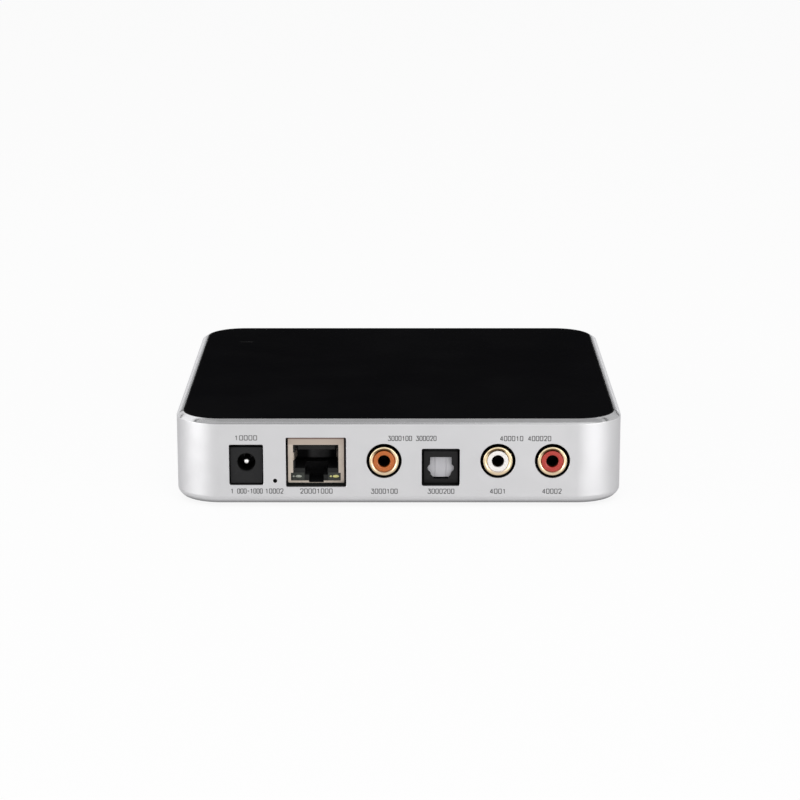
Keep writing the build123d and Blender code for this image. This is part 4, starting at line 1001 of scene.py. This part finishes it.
def makeNetworkShell():
    # the CAD shell and its moulding, with the plug's way cut out to the size seen
    n = network
    mouth, latch, light = n["mouth"], n["latch"], n["leftLight"]
    x, start, overlap = n["x"], n["front"] - 0.5, 0.02
    sheet = (start, n["front"] + 0.35)
    sides = (x - mouth["halfWidth"], x + mouth["halfWidth"])
    opening = boxGrid(sides, (start, n["front"] + 0.6), (16.5, mouth["top"]), 0.03)
    leftSide = boxGrid((x - mouth["left"], sides[0] + overlap), sheet, (mouth["shoulder"], mouth["top"]))
    leftLight = boxGrid((x - light["outer"], x - light["inner"]), sheet, light["z"])
    latchSides = (x - latch["halfWidth"], x + latch["halfWidth"])
    way = boxGrid(latchSides, (start, n["front"] + latch["depth"]), (latch["floor"], 7.6), 0.03)
    cuts = [solid(grid) for grid in (way, opening, leftSide, leftLight)]
    dressedCopy("ethernet_shield", "satinNickel", "tinned_shell", 0.08, 3, cuts=cuts)
    dressedCopy("ethernet_housing", "cavityShadeBlack", "socket_black", 0.05, cuts=cuts[:1])


def makeCombLip():
    # a bar along X: an eased outline in Y and Z, drawn from one end to the other
    comb = network["comb"]
    low, high = comb["z"]
    outline = easedCorners(
        [(comb["front"], low), (comb["back"], low), (comb["back"], high), (comb["front"], high)], 0.09, 5
    )
    ends = network["x"] + np.array([-comb["halfWidth"], comb["halfWidth"]])
    mesh = tidied(meshFrom("combLip", *solid(pointGrid(ends, *outline.T[..., None]))))
    combGrey = finish(
        "combGrey", (0.010, 0.0098, 0.0095), (0.008, 0.0078, 0.0076), (0.55, 0.7), fine=6000, depth=0.003,
        gloss=0.25,
    )
    wear(mesh, combGrey)
    place(addObject("ethernet_comb_lip", shaded(mesh, 40)), "case", "socket_black")


makeNetworkShell()
makeCombLip()
dressedCopy("ethernet_contacts", "wireGold", "gold_contact", 0.05)
dressedCopy("ethernet_light_left", "windowGrey", "light_window", 0.06)
dressedCopy("ethernet_light_right", "windowGrey", "light_window", 0.06)

lightLens = {"front": -59.85, "bulge": 0.28, "halfHeight": 0.4, "z": 8.25}
lensBulbs = ((0.0, 0.92), (-1.42, 0.30))  # middle in X and half width
# the lenses' pale colours are painted highlights on the lens bumps
lensHighlightLooks = {  # middle in X, colour and drift
    "left": (-4.95, (0.32, 0.333, 0.29), (0.265, 0.28, 0.24)),
    "right": (5.45, (0.57, 0.55, 0.215), (0.50, 0.485, 0.165)),
}


def makeLightLens(name, middle, colour, drift):
    # halves of ellipsoids on the window's face: depth = bulge * cos a, outline shrinks with sin a
    lens = lightLens
    spread = np.linspace(0, math.pi / 2, 12)
    angle = np.linspace(0, 2 * math.pi, 40, endpoint=False)[:, None]
    shells = []
    for offset, halfWidth in lensBulbs:
        share = halfWidth / lensBulbs[0][1]
        grid = pointGrid(
            network["x"] + middle + offset + halfWidth * np.cos(angle) * np.sin(spread),
            lens["front"] + 0.02 - lens["bulge"] * share * np.cos(spread),
            lens["z"] + lens["halfHeight"] * share**0.4 * np.sin(angle) * np.sin(spread),
        )
        shells.append((grid.reshape(-1, 3), gridFaces(40, 12, True, False).tolist() + [capFaces(40, 12)[1]]))
    mesh = tidied(meshFrom("lightLens", *joined(shells)))
    wear(mesh, finish(f"{name}LightLens", colour, drift, (0.3, 0.4), broad=900, depth=0.002))
    place(addObject(f"ethernet_lens_{name}", shaded(mesh, 50)), "case", "light_window")


for lensName, lensLook in lensHighlightLooks.items():
    makeLightLens(lensName, *lensLook)

optical = {
    "x": 11.75,
    "front": -61.5,
    "back": -60.5,
    "halfWidth": 4.68,
    "z": (6.9, 15.9),
    "mouth": (
        (3.0, 14.2), (3.0, 12.12), (3.25, 11.92), (3.62, 11.45), (3.70, 11.1), (3.68, 10.65), (3.45, 10.15),
        (3.0, 9.8), (2.84, 9.5), (2.70, 8.85), (2.12, 8.15), (1.98, 7.95),
    ),
    "lip": 0.07,
    "skin": {"x": (6.0, 17.3), "z": (6.0, 17.5)},  # the CAD's front skin, which the nose stands for
    "brow": (4.85, 15.92, 16.88, 0.3),  # closes the room over the nose: half width, low, high, thickness
}


def makeOpticalHousing():
    # the nose is a block with a keyed mouth, whose outline widens a little at the front
    o = optical
    sides = (o["x"] - o["halfWidth"], o["x"] + o["halfWidth"])
    nose = boxGrid(sides, (o["front"], o["back"] + 0.01), o["z"], 0.25)
    side = np.array(o["mouth"])
    outline = np.concatenate([side, (side * (-1, 1))[::-1]])
    middle = np.array([0, 10.9])
    rows = []
    for y, grow in ((o["front"] - 0.5, o["lip"] + 0.5), (o["front"] + o["lip"], 0.0), (o["back"] + 0.5, 0.0)):
        spread = middle + (outline - middle) * (1 + grow / 4)
        rows.append(pointGrid(o["x"] + spread[:, 0], y, spread[:, 1]))
    browHalf, browLow, browHigh, browDepth = o["brow"]
    brow = boxGrid(
        (o["x"] - browHalf, o["x"] + browHalf), (o["back"] - browDepth, o["back"]), (browLow, browHigh), 0.05
    )
    mesh = cutAway(
        tidied(meshFrom("opticalNose", *joined([solid(nose), solid(brow)]))),
        [solid(np.stack(rows, 1))],
    )
    noseBlack = finish(
        "noseBlack", (0.0075, 0.0072, 0.0075), (0.010, 0.0097, 0.010), (0.5, 0.62), broad=240, fine=6500,
        depth=0.005, scuffs=0.05, scuffColour=0.04, gloss=0.15,
    )
    # painted shade: the nose darker towards the bottom of its face
    shadeWhere("noseBlack", [("Z", 8.6, 7.0)], 0.002, amount=0.8)
    wear(mesh, noseBlack, finishes["cavityShadeBlack"])
    tidied(mesh, turnOut=False)
    # faces not turned to the front take the cavity black: painted shade on the nose's top and sides
    facing = np.empty(len(mesh.polygons) * 3)
    mesh.polygons.foreach_get("normal", facing)
    mesh.polygons.foreach_set("material_index", (facing[1::3] > -0.5).astype(np.int32))
    piece = addObject("optical_nose", shaded(mesh, 30))
    evenNormals(piece)
    place(piece, "case", "socket_black")
    skin = boxGrid(o["skin"]["x"], (o["front"] - 0.5, o["back"]), o["skin"]["z"], 0.03)
    dressedCopy("optical_housing", "cavityShadeBlack", "socket_black", 0.0, cuts=[solid(skin)])


makeOpticalHousing()
dressedCopy("optical_shutter", "shutterGrey", "shutter_grey", 0.05, body="optical_shutter")
print("network and optical sockets")

# Underside

for corner in ("rear_left", "rear_right", "front_left", "front_right"):
    dressedCopy(f"foot_{corner}", "rubberBlack", "black_rubber", 0.0)
dressedCopy("base_plate", "plateBlack", "dark_plate", 0.06)
dressedCopy("base_screws", "screwBlack", "black_screw", 0.04)
dressedCopy("status_light_pipe", "clearPipe", "clear_pipe", 0.05)
print("underside and status light")

# Everything else keeps its mesh and takes a finish

innerFinishes = {
    "foam": finish("foam", 0.02, 0.035, (0.85, 0.95), fine=3000, depth=0.03),
    "lamp": finish("lamp", (0.8, 0.8, 0.74), (0.7, 0.7, 0.62), (0.25, 0.35), broad=800),
    "brass_standoff": finish(
        "standoffBrass", (0.72, 0.55, 0.28), (0.62, 0.46, 0.22), (0.28, 0.4), stretch=(1, 1, 0.1), metal=1,
    ),
    "circuit_board": finish(
        "boardResist", (0.003, 0.004, 0.0035), (0.006, 0.008, 0.0065), (0.5, 0.65), broad=600, depth=0.01,
        gloss=0.15,
    ),
    "bright_screw": finish(
        "screwZinc", (0.6, 0.6, 0.62), (0.5, 0.5, 0.52), (0.28, 0.42), metal=1, scuffs=0.2,
    ),
    "spring_steel": finish(
        "springWire", (0.55, 0.55, 0.56), (0.42, 0.42, 0.43), (0.2, 0.35), stretch=(0.1, 1, 1), metal=1,
    ),
    "emitter_resin": finish(
        "smokyResin", (0.03, 0.024, 0.024), (0.045, 0.036, 0.035), (0.12, 0.2), broad=500,
    ),
    "chip_black": finish("chipResin", (0.02, 0.02, 0.022), (0.03, 0.03, 0.032), (0.5, 0.65), fine=4500),
    "pad_grey": finish("padGrey", (0.3, 0.33, 0.35), (0.36, 0.39, 0.4), (0.7, 0.85), fine=2500, depth=0.02),
    "choke_grey": finish("chokePowder", 0.06, 0.09, (0.6, 0.75), fine=2200),
    "can_aluminium": finish("canAluminium", (0.72, 0.72, 0.73), (0.64, 0.64, 0.65), (0.22, 0.34), metal=1),
    "aerial_board": finish(
        "aerialBoard", (0.02, 0.022, 0.02), (0.035, 0.04, 0.034), (0.4, 0.55), broad=700,
    ),
    "lead_jacket": finish("leadJacket", 0.02, 0.03, (0.45, 0.6), fine=3500),
    "socket_black": finishes["socketBlack"],
    "tinned_shell": finishes["satinNickel"],
}

for part in frame["record"]["subparts"]:
    node = frame["nodes"][part["node"]]
    if not node.hide_render:
        wear(node.data, innerFinishes[part["material_slot"]])
print("inner pieces finished")

# Printed marks

numerals = {
    "0": [[(0.47, 1.6), (0, 1.6), (0, 0), (1, 0), (1, 1.6), (0.53, 1.6)]],
    "1": [[(0.2, 1.2), (0.55, 1.6), (0.55, 0)]],
    "2": [[(0, 1.2), (0, 1.6), (1, 1.6), (1, 0.95), (0, 0), (1, 0)]],
    "3": [[(0, 1.6), (1, 1.6), (0.4, 0.95), (1, 0.95), (1, 0), (0, 0), (0, 0.35)]],
    "4": [[(0.75, 0), (0.75, 1.6), (0, 0.45), (1, 0.45)]],
    "-": [[(0.1, 0.8), (0.9, 0.8)]],
    " ": [],
}

printing = {"height": 1.27, "stroke": 0.24, "glyphShare": 0.66, "lift": 0.012, "front": -62.5}


def ribbon(points, width, ease):
    # a flat stroke: the path eased at its corners, offset by half a width to both sides
    path = easedCorners(points, ease, 4, closed=False)
    keep = np.r_[True, np.linalg.norm(np.diff(path, axis=0), axis=1) > 1e-6]
    path = path[keep]
    along = np.gradient(path, axis=0)
    along /= np.linalg.norm(along, axis=1, keepdims=True)
    side = np.stack([-along[:, 1], along[:, 0]], 1) * width / 2
    front, back = printing["front"] - printing["lift"], printing["front"] + 0.02
    left, right = path + side, path - side
    section = [(left, front), (right, front), (right, back), (left, back)]
    grid = np.stack([pointGrid(p[:, 0], y, p[:, 1]) for p, y in section])
    return solid(grid)


def numberStrokes(text, x, z, width):
    # each glyph stands in a cell of even width, its lines scaled to the print's height
    cell = width / len(text)
    tall, wide = printing["height"] / 1.6, cell * printing["glyphShare"]
    strokes = []
    for place, glyph in enumerate(text):
        middle = x + (place - (len(text) - 1) / 2) * cell
        for line in numerals[glyph]:
            strokes.append([(middle + (px - 0.5) * wide, z + (pz - 0.8) * tall) for px, pz in line])
    return strokes


# plain numbers beside the sockets: text, middle in X and Z, and width
printedMarks = [
    ("10000", -42.4, 20.0, 6.5),
    ("1 000-1000", -42.35, 4.7, 9.0),
    ("10002", -34.65, 4.7, 5.2),
    ("20001000", -22.95, 4.7, 9.25),
    ("3000100 300020", 3.77, 19.85, 13.6),
    ("3000100", -4.0, 4.65, 7.6),
    ("3000200", 11.8, 4.65, 7.6),
    ("400010 400020", 35.2, 19.8, 14.4),
    ("4001", 27.65, 4.65, 4.75),
    ("40002", 42.7, 4.65, 5.6),
]


def makePrint():
    ink = finish(
        "greyPrint", (0.075, 0.075, 0.077), (0.11, 0.11, 0.112), (0.5, 0.6), broad=900, fine=9000,
        depth=0.003,
    )
    strokes = []
    for text, x, z, width in printedMarks:
        strokes += [ribbon(line, printing["stroke"], 0.16) for line in numberStrokes(text, x, z, width)]
    mesh = tidied(meshFrom("greyPrint", *joined(strokes)))
    wear(mesh, ink)
    place(addObject("wall_print", shaded(mesh, 40)), "case")


makePrint()
print("printed marks")
